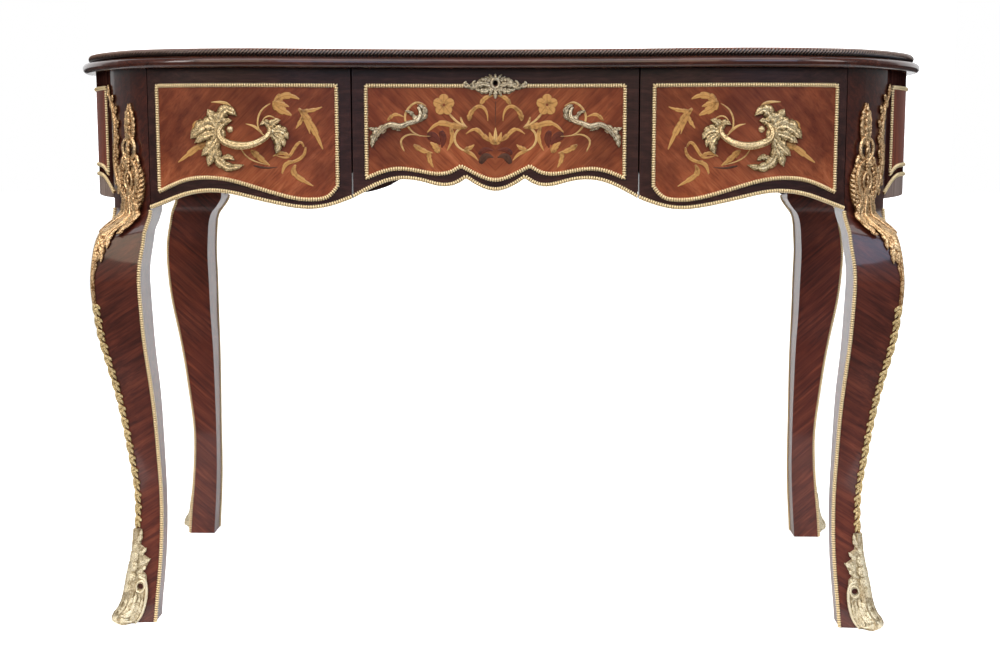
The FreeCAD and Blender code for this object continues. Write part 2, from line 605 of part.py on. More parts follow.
edge_z = TOP_UNDER + EDGE_H
edge_in = TOP_OVERHANG - EDGE_H / 2
moulding = swept([(BOARD_OUT, TOP_UNDER), (edge_in, TOP_UNDER), (TOP_OVERHANG, TOP_UNDER + EDGE_H / 2),
                  (edge_in, edge_z), (BOARD_OUT, edge_z)])
rope_out = TOP_OVERHANG - ROPE_IN
rope = swept([(BOARD_OUT, edge_z), (rope_out - 2, edge_z), (rope_out, (edge_z + HEIGHT) / 2),
              (rope_out - 2, HEIGHT), (BOARD_OUT, HEIGHT)])

# Corner blocks and screws that hold the top
BLOCK = 36.0              # side of a corner block
BLOCK_H = 30.0            # height of a corner block
SCREW_R = 2.5             # radius of a screw's shank
SCREW_HEAD_R = 4.5        # radius of a screw's head
SCREW_BITE = 12.0         # length of the thread in the top
SCREW_FIT = 0.05          # clearance of a screw in its hole
blocks, screws, holes = [], [], []
for sx in (1, -1):
    for sy in (1, -1):
        cx, cy = sx * (STILE_X + 1.5 + BLOCK / 2), sy * (STILE_Y - BLOCK / 2)
        block = box(cx - BLOCK / 2, cx + BLOCK / 2, cy - BLOCK / 2, cy + BLOCK / 2, TOP_UNDER - BLOCK_H, TOP_UNDER)
        foot = V(cx, cy, TOP_UNDER - BLOCK_H)
        up = V(0, 0, 1)
        screw = Part.makeCylinder(SCREW_R, BLOCK_H + SCREW_BITE, foot, up)
        screw = screw.fuse(Part.makeCone(SCREW_HEAD_R, SCREW_R, 3.0, foot, up)).removeSplitter()
        hole = Part.makeCylinder(SCREW_R + SCREW_FIT, BLOCK_H + SCREW_BITE, foot, up)
        hole = hole.fuse(Part.makeCone(SCREW_HEAD_R + SCREW_FIT, SCREW_R + SCREW_FIT, 3.0, foot, up))
        screws.append(screw)
        holes.append(hole)
        blocks.append(block.cut(hole))
for hole in holes:
    top_board = top_board.cut(hole)

# Lock in the middle drawer
back_y = RECESS - LOBE_FRONT + FRONT_T
lock_top = BOX_TOP
lock_case = box(-LOCK_W / 2, LOCK_W / 2, back_y - 3, back_y + LOCK_T, lock_top - LOCK_H, lock_top)
lock_case = lock_case.common(prism(-FRONT_T, LOW, TOP_UNDER))
bolt_y = back_y + LOCK_T / 2
slot = box(-BOLT_W / 2 - BOLT_FIT, BOLT_W / 2 + BOLT_FIT, bolt_y - BOLT_T / 2 - BOLT_FIT,
           bolt_y + BOLT_T / 2 + BOLT_FIT, lock_top - BOLT_H - BOLT_FIT, lock_top + 1)
lock_case = lock_case.cut(slot)
bolt = box(-BOLT_W / 2, BOLT_W / 2, bolt_y - BOLT_T / 2, bolt_y + BOLT_T / 2, lock_top - BOLT_H, lock_top)
catch = box(-BOLT_W / 2 - 1, BOLT_W / 2 + 1, bolt_y - BOLT_T / 2 - 1, bolt_y + BOLT_T / 2 + 1,
            RAIL_TOP_Z - 1, lock_top + BOLT_THROW + 2)
top_rail = top_rail.cut(catch)


# Cast pulls and the keyhole plate
def flat_casting(points, thick):
    """Leaf outline on a front, following its curve."""
    face = closed_spline([V(x, 0, z) for x, z in points])
    return ring(thick, 0, LOW, TOP_UNDER).common(through_y(face, -FAR, 0))


def front_y(x, offset):
    """Depth of the front at x, moved outward by the offset."""
    for arc in PLAN[:4]:
        (cx, cy), radius, a0, a1 = arc
        reach = radius + offset
        if abs(x - cx) > abs(reach):
            continue
        angle = math.asin((x - cx) / reach)
        if min(a0, a1) - 1e-9 <= angle <= max(a0, a1) + 1e-9:
            return cy - reach * math.cos(angle)
    raise ValueError("no front at this place")


def leaf_face(path, width):
    """Pointed leaf in the XZ plane along a bent middle line."""
    line = spline([V(x, 0, z) for x, z in path])
    first, last = line.FirstParameter, line.LastParameter
    left, right = [], []
    for i in range(1, 7):
        t = first + (last - first) * i / 7
        along = line.tangentAt(t)
        half = width / 2 * math.sin(math.pi * (i / 7) ** 0.8) ** 0.7
        side = V(-along.z, 0, along.x) * half
        left.append(line.valueAt(t) + side)
        right.append(line.valueAt(t) - side)
    return polygon([line.valueAt(first)] + left + [line.valueAt(last)] + right[::-1])


def leaf_plate(leaves, bosses, thick):
    """Leaves and round bosses on a front, following its curve."""
    shapes = [through_y(leaf_face(path, width), -FAR, 0) for path, width in leaves]
    for x, z, radius in bosses:
        shapes.append(Part.makeCylinder(radius, FAR, V(x, -FAR, z), V(0, 1, 0)))
    whole = shapes[0].multiFuse(shapes[1:])
    return ring(thick, 0, LOW, TOP_UNDER).common(whole)


PULL_X = 321.0            # centre to the middle of the bar of a side drawer's pull
PULL_Z = TOP_UNDER - 99   # height of that bar's lowest point
PULL_R = 3.8              # radius of the bars of the pulls
CENTRE_PULL_X = 127.0     # centre to the middle of a middle drawer's pull
CENTRE_PULL_Z = TOP_UNDER - 74


def side_pull():
    x, z = PULL_X, PULL_Z
    leaves = [([(-32, 23), (-39, 16), (-40, 7), (-38, -6)], 10), ([(-34, 26), (-39, 31), (-34, 36), (-30, 40)], 7),
              ([(-36, 17), (-44, 16), (-51, 12)], 7.5), ([(37, 14), (28, 25), (21, 34), (13, 41)], 9),
              ([(38, 15), (36, 29), (33, 43)], 8), ([(41, 16), (46, 28), (50, 40)], 9),
              ([(40, 15), (56, 19), (66, 14), (73, 5)], 16), ([(34, 2), (43, -10), (37, -23), (25, -29), (12, -27)], 10.5),
              ([(39, -3), (51, -9), (63, -17)], 11), ([(37, 10), (26, 17), (16, 22)], 6)]
    leaves = [([(x + a, z + b) for a, b in path], width) for path, width in leaves]
    plates = leaf_plate(leaves, [(x + 37, z + 9, 9.0), (x - 35, z + 20, 7.0)], 5.0)
    out = PULL_REACH - PULL_R
    path = [(x - 34, z + 24, 3), (x - 32, z + 15, out * 0.5), (x - 24, z + 7, out * 0.8), (x - 12, z + 2, out),
            (x + 4, z, out), (x + 18, z + 2, out * 0.9), (x + 30, z + 8, out * 0.6), (x + 37, z + 15, 3)]
    points = [V(a, front_y(a, d), b) for a, b, d in path]
    bar = tube(points, PULL_R).cut(prism(0, LOW, TOP_UNDER))
    return plates.fuse(bar).removeSplitter()


def centre_pull():
    x, z = CENTRE_PULL_X, CENTRE_PULL_Z
    leaves = [([(-24, 6), (-33, 13), (-32, 23), (-24, 26)], 9.5), ([(21, -5), (30, -11), (35, -28)], 12),
              ([(23, -6), (34, -6), (38, -4)], 7), ([(18, -1), (8, -4), (-1, -6)], 6)]
    leaves = [([(x + a, z + b) for a, b in path], width) for path, width in leaves]
    plates = leaf_plate(leaves, [(x - 25, z + 9, 6.0), (x + 20, z - 4, 7.5)], 4.0)
    out = PULL_REACH * 0.6
    path = [(x - 25, z + 10, 2), (x - 18, z + 5, out * 0.6), (x - 9, z + 2, out), (x + 1, z - 1, out),
            (x + 11, z, out * 0.9), (x + 18, z - 3, out * 0.5), (x + 23, z - 8, 2)]
    points = [V(a, front_y(a, d), b) for a, b, d in path]
    bar = tube(points, PULL_R * 0.8).cut(prism(0, LOW, TOP_UNDER))
    return plates.fuse(bar).removeSplitter()


KEY_Z = TOP_UNDER - 18.0  # height of the keyhole
plate = [(0, KEY_Z + 13), (10, KEY_Z + 8), (24, KEY_Z + 5), (38, KEY_Z + 6), (45, KEY_Z - 2), (34, KEY_Z - 7),
         (18, KEY_Z - 8), (7, KEY_Z - 17), (0, KEY_Z - 20)]
plate = plate + [(-x, z) for x, z in reversed(plate[1:-1])]
keyhole = Part.makeCylinder(2.6, FAR, V(0, -FAR - 20, KEY_Z), V(0, 1, 0)).common(box(-9, 9, -FAR, back_y, LOW, HEIGHT))
keyhole = keyhole.fuse(box(-1.4, 1.4, -FAR, back_y, KEY_Z - 9, KEY_Z))
escutcheon = flat_casting(plate, 3.0).cut(keyhole)
centre_front = centre_front.cut(keyhole)
centre_frame = centre_frame.cut(flat_casting(plate, 3.0))

# Sub-parts by name
parts = {"top_board": top_board, "top_edge_moulding": moulding, "top_rope_edge": rope,
         "front_top_rail": top_rail, "front_bottom_rail": low_rail,
         "divider_right": divider, "divider_left": mirrored(divider),
         "side_runner_right": runner, "side_runner_left": mirrored(runner),
         "end_apron_right": end_apron, "end_apron_left": mirrored(end_apron),
         "end_beads_right": Part.makeCompound([end_edge, end_frame]),
         "end_beads_left": mirrored(Part.makeCompound([end_edge, end_frame])),
         "back_apron": back_apron, "back_beads": Part.makeCompound(back_beads),
         "corner_blocks": Part.makeCompound(blocks), "top_screws": Part.makeCompound(screws),
         "lock_case": lock_case, "lock_bolt": bolt, "keyhole_escutcheon": escutcheon,
         "centre_drawer_front": centre_front, "centre_drawer_frame_bead": centre_frame,
         "centre_drawer_edge_bead": centre_edge,
         "right_drawer_front": side_front, "left_drawer_front": mirrored(side_front),
         "right_drawer_frame_bead": side_frame, "left_drawer_frame_bead": mirrored(side_frame),
         "right_drawer_edge_bead": side_edge, "left_drawer_edge_bead": mirrored(side_edge)}
pull = side_pull()
parts["right_drawer_pull"] = pull
parts["left_drawer_pull"] = mirrored(pull)
pull = centre_pull()
parts["centre_pull_right"] = pull
parts["centre_pull_left"] = mirrored(pull)
for kind, shape in zip(("side_left", "side_right", "back", "bottom"), centre_box):
    parts["centre_drawer_" + kind] = shape
for kind, shape in zip(("side_inner", "side_outer", "back", "bottom"), side_box):
    parts["right_drawer_" + kind] = shape
    parts["left_drawer_" + kind] = mirrored(shape)
all_beads = []
for place, front in (("front", True), ("back", False)):
    leg, mount, shoe, beads = make_leg(front)
    for side, turn in (("right", lambda s: s), ("left", mirrored)):
        parts["leg_%s_%s" % (place, side)] = turn(leg)
        parts["leg_mount_%s_%s" % (place, side)] = turn(mount)
        parts["sabot_%s_%s" % (place, side)] = turn(shoe)
        all_beads += [turn(b) for b in beads]
parts["leg_beads"] = Part.makeCompound(all_beads)

os.makedirs("parts", exist_ok=True)
for name, shape in sorted(parts.items()):
    shape.exportStep("parts/%s.step" % name)
    bb = shape.optimalBoundingBox()
    print("%-26s solids %d valid %s volume %9.1f  x %7.1f %7.1f  y %7.1f %7.1f  z %6.1f %6.1f" % (
        name, len(shape.Solids), shape.isValid(), shape.Volume, bb.XMin, bb.XMax, bb.YMin, bb.YMax, bb.ZMin, bb.ZMax))
print(len(parts), "sub-parts")
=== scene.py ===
# %% [markdown]
# # A kidney-shaped writing desk with inlay and gilt mounts
# The solids of this desk were cut and joined first. This script loads them as a fixed frame
# and dresses them the way a cabinet maker would: veneer fields and flower inlay on the drawer fronts,
# ribbed brass beading, a rope edge round the top, and cast, chased gilt mounts on legs and drawers.
# Sizes below are in millimetres and become metres only when a mesh is made.

# %% Load the frame
import math
import bpy
import bmesh
import numpy as np
from mathutils import Euler, Matrix, Vector


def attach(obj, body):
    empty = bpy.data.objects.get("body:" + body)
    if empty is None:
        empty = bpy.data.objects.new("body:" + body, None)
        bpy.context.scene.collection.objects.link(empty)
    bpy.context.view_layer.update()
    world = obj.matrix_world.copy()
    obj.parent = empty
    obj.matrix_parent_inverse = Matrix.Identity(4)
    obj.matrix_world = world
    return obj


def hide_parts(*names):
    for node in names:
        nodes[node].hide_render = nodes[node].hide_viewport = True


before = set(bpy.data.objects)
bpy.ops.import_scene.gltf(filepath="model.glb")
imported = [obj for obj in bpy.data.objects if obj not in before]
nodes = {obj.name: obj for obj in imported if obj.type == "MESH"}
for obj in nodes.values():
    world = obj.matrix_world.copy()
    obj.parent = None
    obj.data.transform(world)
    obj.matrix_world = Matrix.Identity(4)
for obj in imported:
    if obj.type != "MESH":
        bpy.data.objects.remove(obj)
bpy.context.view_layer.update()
MM = 0.001

# %% [markdown]
# ## Node helpers
# Patterns, finishes and the white surround are all node trees. A few small functions make nodes and
# fill their inputs, with plain values or with links from other nodes.

# %% Nodes
def set_inputs(tree, node, inputs):
    """Gives inputs of a node their values, or links them to sockets."""
    for key, value in inputs.items():
        if isinstance(value, bpy.types.NodeSocket):
            tree.links.new(value, node.inputs[key])
        else:
            node.inputs[key].default_value = value
    return node


def add_node(tree, kind, inputs=None, **settings):
    """A node with its settings made; inputs are values or sockets to link from."""
    node = tree.nodes.new(kind)
    for key, value in settings.items():
        setattr(node, key, value)
    return set_inputs(tree, node, inputs or {})


def math_node(tree, operation, *values):
    """One step of arithmetic on values or sockets."""
    return add_node(tree, "ShaderNodeMath", dict(enumerate(values)), operation=operation).outputs[0]


def new_finish(name):
    """A material, its tree, its shader and the coordinates of the piece that wears it."""
    finish = bpy.data.materials.new(name)
    finish.use_nodes = True
    tree = finish.node_tree
    return finish, tree, tree.nodes["Principled BSDF"], tree.nodes.new("ShaderNodeTexCoord").outputs


print("node helpers ready")

# %% [markdown]
# ## Camera, floor and light
# The picture was taken from a little below the height of the top, so the top shows only its edge.
# A camera fitted to the legs and drawer lines gives place, turn and lens. The desk stands on a sheet of
# white paper that rises behind it; the room in front has a darker floor, which keeps polished wood deep
# in colour. Two high windows, one warm and one cool, stand behind the camera: upright faces do not
# mirror them, but the knees of the legs lean back far enough to do so. The camera sees only white, and
# metal mirrors that white background too.

# %% Camera
LENS, SENSOR = 54.09, 36.0
CAMERA_PLACE, CAMERA_DIP, CAMERA_TURN = (0.0541, -2.257, 0.6705), 0.1323, 0.024
camera_data = bpy.data.cameras.new("camera")
camera_data.sensor_width = SENSOR
camera_data.lens = LENS
camera = bpy.data.objects.new("camera", camera_data)
camera.location = CAMERA_PLACE
camera.rotation_euler = (math.pi / 2 - CAMERA_DIP, 0.0, CAMERA_TURN)
bpy.context.scene.collection.objects.link(camera)
bpy.context.scene.camera = camera
bpy.context.scene.view_settings.view_transform = "Standard"
print("camera at", tuple(round(c, 3) for c in camera.location))

# %% Floor, surround and lamps
AMBIENT, WHITE = 0.2, 1.0
PAPER_GREY, PAPER_MIRRORED, ROOM_GREY = 0.92, 0.25, 0.12
WARM, COOL, EVEN = (1.0, 0.84, 0.62), (0.5, 0.7, 1.0), (1.0, 0.96, 0.92)


def add_lamp(name, place, aim, size, watts, tint=(1, 1, 1)):
    """A soft rectangular panel that faces the aim point."""
    data = bpy.data.lights.new(name, "AREA")
    data.shape = "RECTANGLE"
    data.size, data.size_y = size
    data.energy = watts
    data.color = tint
    lamp = bpy.data.objects.new(name, data)
    lamp.location = place
    lamp.rotation_euler = (Vector(aim) - Vector(place)).to_track_quat("-Z", "Y").to_euler()
    bpy.context.scene.collection.objects.link(lamp)


def seen_or_lit(tree, lit, seen, mirrored):
    """One value for the camera, also by way of metal or glass, and one for the light on the desk."""
    path = tree.nodes.new("ShaderNodeLightPath").outputs
    by_mirror = math_node(tree, "ADD", path["Is Glossy Ray"], path["Is Transmission Ray"])
    by_mirror = math_node(tree, "MULTIPLY", by_mirror, mirrored)
    share = math_node(tree, "MAXIMUM", path["Is Camera Ray"], by_mirror)
    return add_node(tree, "ShaderNodeMix", {"Factor": share, "A": lit, "B": seen}).outputs["Result"]


def white_for_camera(name, grey, mirrored):
    """A matt grey that the camera sees as plain white, and mirrors too where it is the background."""
    finish, tree, shader, _ = new_finish(name)
    set_inputs(tree, shader, {"Base Color": (grey, grey, grey, 1), "Roughness": 0.9,
                              "Specular IOR Level": 0.1, "Emission Color": (1, 1, 1, 1),
                              "Emission Strength": seen_or_lit(tree, 0.0, WHITE, mirrored)})
    return finish


def stage_plane(name, size, place, turn, finish):
    """A flat sheet of the surround, which is no part of the desk."""
    bpy.ops.mesh.primitive_plane_add(size=1)
    plane = bpy.context.object
    plane.name = name
    plane.data.transform(Matrix.LocRotScale(Vector(place), Euler(turn), Vector((*size, 1))))
    plane.data.materials.append(finish)


world = bpy.data.worlds.new("surround")
bpy.context.scene.world = world
world.use_nodes = True
air = world.node_tree
gaze = add_node(air, "ShaderNodeTexCoord").outputs["Generated"]
ahead = add_node(air, "ShaderNodeSeparateXYZ", {0: gaze}).outputs["Y"]
behind_desk = math_node(air, "GREATER_THAN", ahead, 0.5)
set_inputs(air, air.nodes["Background"],
           {"Color": (1, 1, 1, 1), "Strength": seen_or_lit(air, AMBIENT, WHITE, behind_desk)})
paper = white_for_camera("white paper", PAPER_GREY, PAPER_MIRRORED)
dark_floor = white_for_camera("studio floor", ROOM_GREY, 0.0)
stage_plane("studio_floor", (30, 30), (0, 0, -0.003), (0, 0, 0), dark_floor)
stage_plane("floor", (2.8, 3.4), (0, 1.0, 0), (0, 0, 0), paper)
stage_plane("backdrop", (2.8, 2.2), (0, 2.7, 1.1), (math.pi / 2, 0, 0), paper)
add_lamp("left window", (-1.7, -4.6, 2.8), (-0.5, 0, 0.5), (2.8, 2.5), 62, WARM)
add_lamp("right window", (1.7, -4.6, 2.8), (0.5, 0, 0.5), (2.8, 2.5), 70, COOL)
add_lamp("left panel", (-2.6, -2.4, 2.2), (0, 0, 0.6), (0.7, 1.6), 34, EVEN)
add_lamp("right panel", (2.6, -2.0, 2.2), (0, 0, 0.6), (0.9, 1.6), 24, EVEN)
add_lamp("top panel", (0, -1.2, 3.0), (0, 0, 0.4), (3.4, 1.8), 50)
add_lamp("backdrop wash", (0, 1.2, 2.6), (0, 2.7, 0.9), (2.4, 0.5), 16)
print("floor and lamps placed")

# %% [markdown]
# ## Small helpers for paths
# Nearly every ornament here follows a drawn line: an inlaid stem, a leaf's middle rib, the edge of a
# drawer. A natural cubic spline through a few places gives such a line the swing of a pen stroke.

# %% Splines
def spline_through(at, values, query):
    """Natural cubic spline through rows of values given at rising places, read at the query places."""
    at = np.asarray(at, float)
    rows = np.asarray(values, float)
    gaps = np.diff(at)
    count = len(at)
    system = np.eye(count)
    right = np.zeros_like(rows)
    for i in range(1, count - 1):
        system[i, i - 1:i + 2] = gaps[i - 1], 2 * (gaps[i - 1] + gaps[i]), gaps[i]
        right[i] = 6 * ((rows[i + 1] - rows[i]) / gaps[i] - (rows[i] - rows[i - 1]) / gaps[i - 1])
    bend = np.linalg.solve(system, right)
    query = np.asarray(query, float)
    i = np.clip(np.searchsorted(at, query) - 1, 0, count - 2)
    gap = gaps[i][:, None]
    a = (at[i + 1] - query)[:, None] / gap
    b = 1 - a
    curve = ((a ** 3 - a) * bend[i] + (b ** 3 - b) * bend[i + 1]) * gap ** 2 / 6
    return a * rows[i] + b * rows[i + 1] + curve


def smooth_path(path, count):
    """A drawn line: the places joined by a spline and read at even shares of its length."""
    rows = np.asarray(path, float)
    steps = np.linalg.norm(np.diff(rows[:, :2], axis=0), axis=1)
    at = np.concatenate([[0], np.cumsum(np.maximum(steps, 1e-3))])
    return spline_through(at, rows, np.linspace(0, at[-1], count))


def spiral(u, z, first, last, start, turns, h=1.5, steps=12):
    """Places along a volute round (u, z), from the first radius to the last."""
    rows = []
    for share in np.linspace(0, 1, int(steps * abs(turns)) + 4):
        angle = math.radians(start) + 2 * math.pi * turns * share
        radius = first + (last - first) * share
        rows.append((u + radius * math.cos(angle), z + radius * math.sin(angle), h))
    return rows


print("spline check", spline_through([0, 1, 2], [[0], [1], [0]], [1.0])[0])

# %% [markdown]
# ## The surfaces the ornament sits on
# The front of the desk is a serpentine: a hollow middle, two lobes, tight corners and bowed ends, all
# arcs that meet smoothly. Each function below turns a flat drawing place (across, height) and a height
# above the wood into a point in space, so ornament can be drawn flat and still hug the curves.

# %% Plan of the frieze
TOP_UNDER, STILE_FOOT = 755.0, 570.0
HALF_WIDTH, LOBE_FRONT, RECESS = 589.0, 291.0, 36.0
LOBE_X, LOBE_R, STILE_X, STILE_Y = 326.0, 300.0, 460.5, 195.0
CORNER_R, BACK_CORNER_R, BOW_R, BACK_BOW = 110.0, 80.0, 2600.0, 299.0
ARC_STEPS = 90


def run_into_end(x1, y1, t1, radius):
    """Corner arc from (x1, y1) that runs into an end arc standing upright at the half width."""
    low, high = t1, math.radians(89)
    for _ in range(60):
        t = (low + high) / 2
        x2 = x1 + radius * (math.sin(t) - math.sin(t1))
        y2 = y1 - radius * (math.cos(t1) - math.cos(t))
        if (HALF_WIDTH - x2) / y2 > math.tan(math.pi / 4 - t / 2):
            high = t
        else:
            low = t
    return t, x2, y2, (HALF_WIDTH - x2) / (1 - math.sin(t))


def plan_rows():
    """Right half of the outline, front middle to back middle: x, y and the outward normal."""
    hollow = (LOBE_X ** 2 / RECESS + RECESS) / 2 - LOBE_R
    turn = math.asin(LOBE_X / (hollow + LOBE_R))
    t1 = math.asin((STILE_X - LOBE_X) / LOBE_R)
    y1 = LOBE_FRONT - LOBE_R * (1 - math.cos(t1))
    t2, x2, y2, end_r = run_into_end(STILE_X, y1, t1, CORNER_R)
    b1 = math.asin(STILE_X / BOW_R)
    yb = BACK_BOW - BOW_R * (1 - math.cos(b1))
    b2, xb, yb2, back_r = run_into_end(STILE_X, yb, b1, BACK_CORNER_R)
    back_corner = (STILE_X - BACK_CORNER_R * math.sin(b1), yb - BACK_CORNER_R * math.cos(b1))
    arcs = [((0, RECESS - LOBE_FRONT - hollow), -hollow, 0, -turn),
            ((LOBE_X, LOBE_R - LOBE_FRONT), LOBE_R, -turn, t1),
            ((STILE_X - CORNER_R * math.sin(t1), CORNER_R * math.cos(t1) - y1), CORNER_R, t1, t2),
            ((HALF_WIDTH - end_r, 0), end_r, t2, math.pi / 2),
            ((HALF_WIDTH - back_r, 0), back_r, math.pi / 2, math.pi - b2),
            (back_corner, BACK_CORNER_R, math.pi - b2, math.pi - b1),
            ((0, BACK_BOW - BOW_R), BOW_R, math.pi - b1, math.pi)]
    rows = []
    for (cx, cy), radius, first, last in arcs:
        for a in np.linspace(first, last, ARC_STEPS):
            rows.append((cx + radius * math.sin(a), cy - radius * math.cos(a), math.sin(a), -math.cos(a)))
    return np.array(rows), (x2, y2), (xb, yb2)


PLAN, FRONT_CORNER, BACK_CORNER = plan_rows()
PLAN_RUN = np.concatenate([[0], np.cumsum(np.linalg.norm(np.diff(PLAN[:, :2], axis=0), axis=1))])
FRONT_ROWS = PLAN[:3 * ARC_STEPS]
END_ROWS = PLAN[3 * ARC_STEPS:5 * ARC_STEPS]
BACK_ROWS = PLAN[5 * ARC_STEPS:][::-1]


def read_rows(rows, column, value):
    """Place and normal on a stretch of the outline where one coordinate has the value."""
    return [np.interp(value, rows[:, column], rows[:, k]) for k in range(4)]


def face_spot(rows, x, z, h):
    """Points at x and height z, raised by h, on the front or back of the desk."""
    x, z, h = np.broadcast_arrays(np.asarray(x, float), z, h)
    px, py, nx, ny = read_rows(rows, 0, np.abs(x))
    side = np.where(x < 0, -1.0, 1.0)
    return np.stack([side * (px + nx * h), py + ny * h, z + 0.0 * h], axis=-1)


def front_spot(x, z, h):
    return face_spot(FRONT_ROWS, x, z, h)


def back_spot(x, z, h):
    return face_spot(BACK_ROWS, x, z, h)


def end_spot(y, z, h):
    """Points on the right end of the desk."""
    y, z, h = np.broadcast_arrays(np.asarray(y, float), z, h)
    px, py, nx, ny = read_rows(END_ROWS, 1, y)
    return np.stack([px + nx * h, py + ny * h, z + 0.0 * h], axis=-1)


print("front corner", np.round(FRONT_CORNER, 1), "back corner", np.round(BACK_CORNER, 1))

# %% [markdown]
# The legs are four-sided with one sharp outer edge that swings out over the knee and the toe. Ornament
# on a leg is drawn with u, the distance from that edge: minus over the face with the drawers, plus
# over the face at the end of the desk. Above the knee the same u runs along the curved post.

# %% Surfaces of the legs
LEG_SECTIONS = [(0, 21, 38), (40, 17, 37.5), (80, 12, 36), (130, 7.5, 34), (180, 6.5, 33.5), (235, 12, 38),
                (290, 19, 43.5), (345, 28.5, 50), (400, 39.5, 57.5), (440, 44, 60.5), (475, 45.5, 61),
                (505, 42.5, 60), (530, 37, 58.2)]
KNEE_BLEND = [(540, .844), (548, .575), (556, .282), (563, .081)]
BACK_LEG = 1.08
FACE_BULGE, EDGE_ROUND, POST_BLEND = 1.2, 7.0, 12


def leg_corners(front, z):
    """Inner, sharp and outer corner of a leg on the right side at the heights z."""
    cx, cy = FRONT_CORNER if front else BACK_CORNER
    size = 1.0 if front else BACK_LEG
    post = read_rows(END_ROWS, 1, -STILE_Y if front else STILE_Y)
    stile = read_rows(FRONT_ROWS if front else BACK_ROWS, 0, STILE_X)
    heights = [row[0] for row in LEG_SECTIONS + KNEE_BLEND] + [STILE_FOOT]
    rows = []
    for _, swing, side in LEG_SECTIONS:
        x, y = cx + swing, cy + swing
        rows.append((x - side * size, y, x, y, x, y - side * size))
    knee, foot = np.array(rows[-1]), np.array((STILE_X, abs(stile[1]), cx, cy, post[0], STILE_Y))
    rows += [foot + (knee - foot) * share for _, share in KNEE_BLEND]
    rows.append(foot)
    found = spline_through(heights, rows, np.minimum(np.ravel(z), STILE_FOOT))
    return found[:, 0:2], found[:, 2:4], found[:, 4:6]


def leg_spot(front):
    """Function for points on a leg of the right side: u from the sharp edge, height z, raised by h."""
    sign = -1.0 if front else 1.0
    diagonal = np.array([math.sqrt(0.5), math.sqrt(0.5)])
    start = 3 * ARC_STEPS if front else 5 * ARC_STEPS
    way = 1.0 if front else -1.0

    def spot(u, z, h):
        u, z, h = np.broadcast_arrays(np.asarray(u, float), z, h)
        shape = u.shape
        u, z, h = u.ravel(), z.ravel(), h.ravel()
        inner, edge, outer = leg_corners(front, z)
        arm = np.where((u < 0)[:, None], inner - edge, outer - edge)
        length = np.linalg.norm(arm, axis=1)
        share = np.abs(u) / length
        face = np.stack([arm[:, 1], -arm[:, 0]], axis=1) / length[:, None]
        face *= np.sign(face @ diagonal)[:, None]
        bulge = 4 * FACE_BULGE * share * np.clip(1 - share, 0, 1)
        low = edge + arm * share[:, None] + face * bulge[:, None]
        turn = np.clip(np.abs(u) / EDGE_ROUND, 0, 1)[:, None]
        low_n = diagonal * (1 - turn) + face * turn
        run = PLAN_RUN[start] + way * u
        high = np.stack([np.interp(run, PLAN_RUN, PLAN[:, k]) for k in range(4)], axis=1)
        high[:, 1] *= sign
        high[:, 3] *= sign
        mix = np.clip((z - STILE_FOOT + POST_BLEND) / POST_BLEND, 0, 1)[:, None]
        ground = low * (1 - mix) + high[:, 0:2] * mix
        normal = low_n * (1 - mix) + high[:, 2:4] * mix
        normal /= np.linalg.norm(normal, axis=1)[:, None]
        flat = ground + normal * h[:, None]
        return np.stack([flat[:, 0], sign * flat[:, 1], z], axis=-1).reshape(shape + (3,))

    return spot


front_leg_spot, back_leg_spot = leg_spot(True), leg_spot(False)
print("knee edge at", np.round(front_leg_spot(0.0, 475.0, 0.0), 1))

# %% [markdown]
# ## Cast and cut shapes
# A cast mount is built like a wax model: leaves, bars and small domes pressed together. Every shape
# here is a closed skin, and each vertex keeps its relief, high on crests and low in hollows. Colour follows
# it: partly old gilding, dull brown in the hollows and rubbed bright on crests, partly painted shade and
# highlight.

# %% The wax model and its shapes
# Height of the hidden back of a shape, a little inside the wood
UNDERSIDE = -0.4


class Wax:
    """Points, faces and relief of one piece, in millimetres, grown shape by shape."""

    def __init__(self):
        self.points, self.relief, self.marks, self.faces = [], [], [], []
        self.count = 0

    def skin(self, rings, relief, marks=None, loop=False):
        """A closed skin over rings of points, capped at both ends or joined into a loop."""
        rings = np.asarray(rings, float)
        rows, wide, _ = rings.shape
        first = self.count
        self.points.append(rings.reshape(-1, 3))
        self.relief.append(np.broadcast_to(relief, (rows, wide)).reshape(-1))
        self.marks.append(np.zeros((rows * wide, 2)) if marks is None else np.asarray(marks).reshape(-1, 2))
        for i in range(rows if loop else rows - 1):
            low, high = first + i * wide, first + (i + 1) % rows * wide
            for j in range(wide):
                k = (j + 1) % wide
                self.faces.append((low + j, low + k, high + k, high + j))
        if not loop:
            self.faces.append(tuple(range(first + wide - 1, first - 1, -1)))
            self.faces.append(tuple(range(first + (rows - 1) * wide, first + rows * wide)))
        self.count += rows * wide

    def mesh(self, name, mirror=False, both=False):
        """The finished mesh in metres: as drawn, mirrored to the left, or both."""
        points = np.vstack(self.points) * MM
        relief = np.concatenate(self.relief)
        marks = np.vstack(self.marks)
        faces = list(self.faces)
        flip = np.array([-1.0, 1.0, 1.0])
        if mirror:
            points = points * flip
        if both:
            shift = len(points)
            points = np.vstack([points, points * flip])
            relief = np.concatenate([relief, relief])
            marks = np.vstack([marks, marks])
            faces += [tuple(v + shift for v in face) for face in self.faces]
        mesh = bpy.data.meshes.new(name)
        mesh.from_pydata(points.tolist(), [], faces)
        mesh.attributes.new("relief", "FLOAT", "POINT").data.foreach_set("value", relief)
        corners = np.zeros(len(mesh.loops), int)
        mesh.loops.foreach_get("vertex_index", corners)
        mesh.uv_layers.new(name="UVMap").data.foreach_set("uv", marks[corners].ravel())
        return mend(mesh)


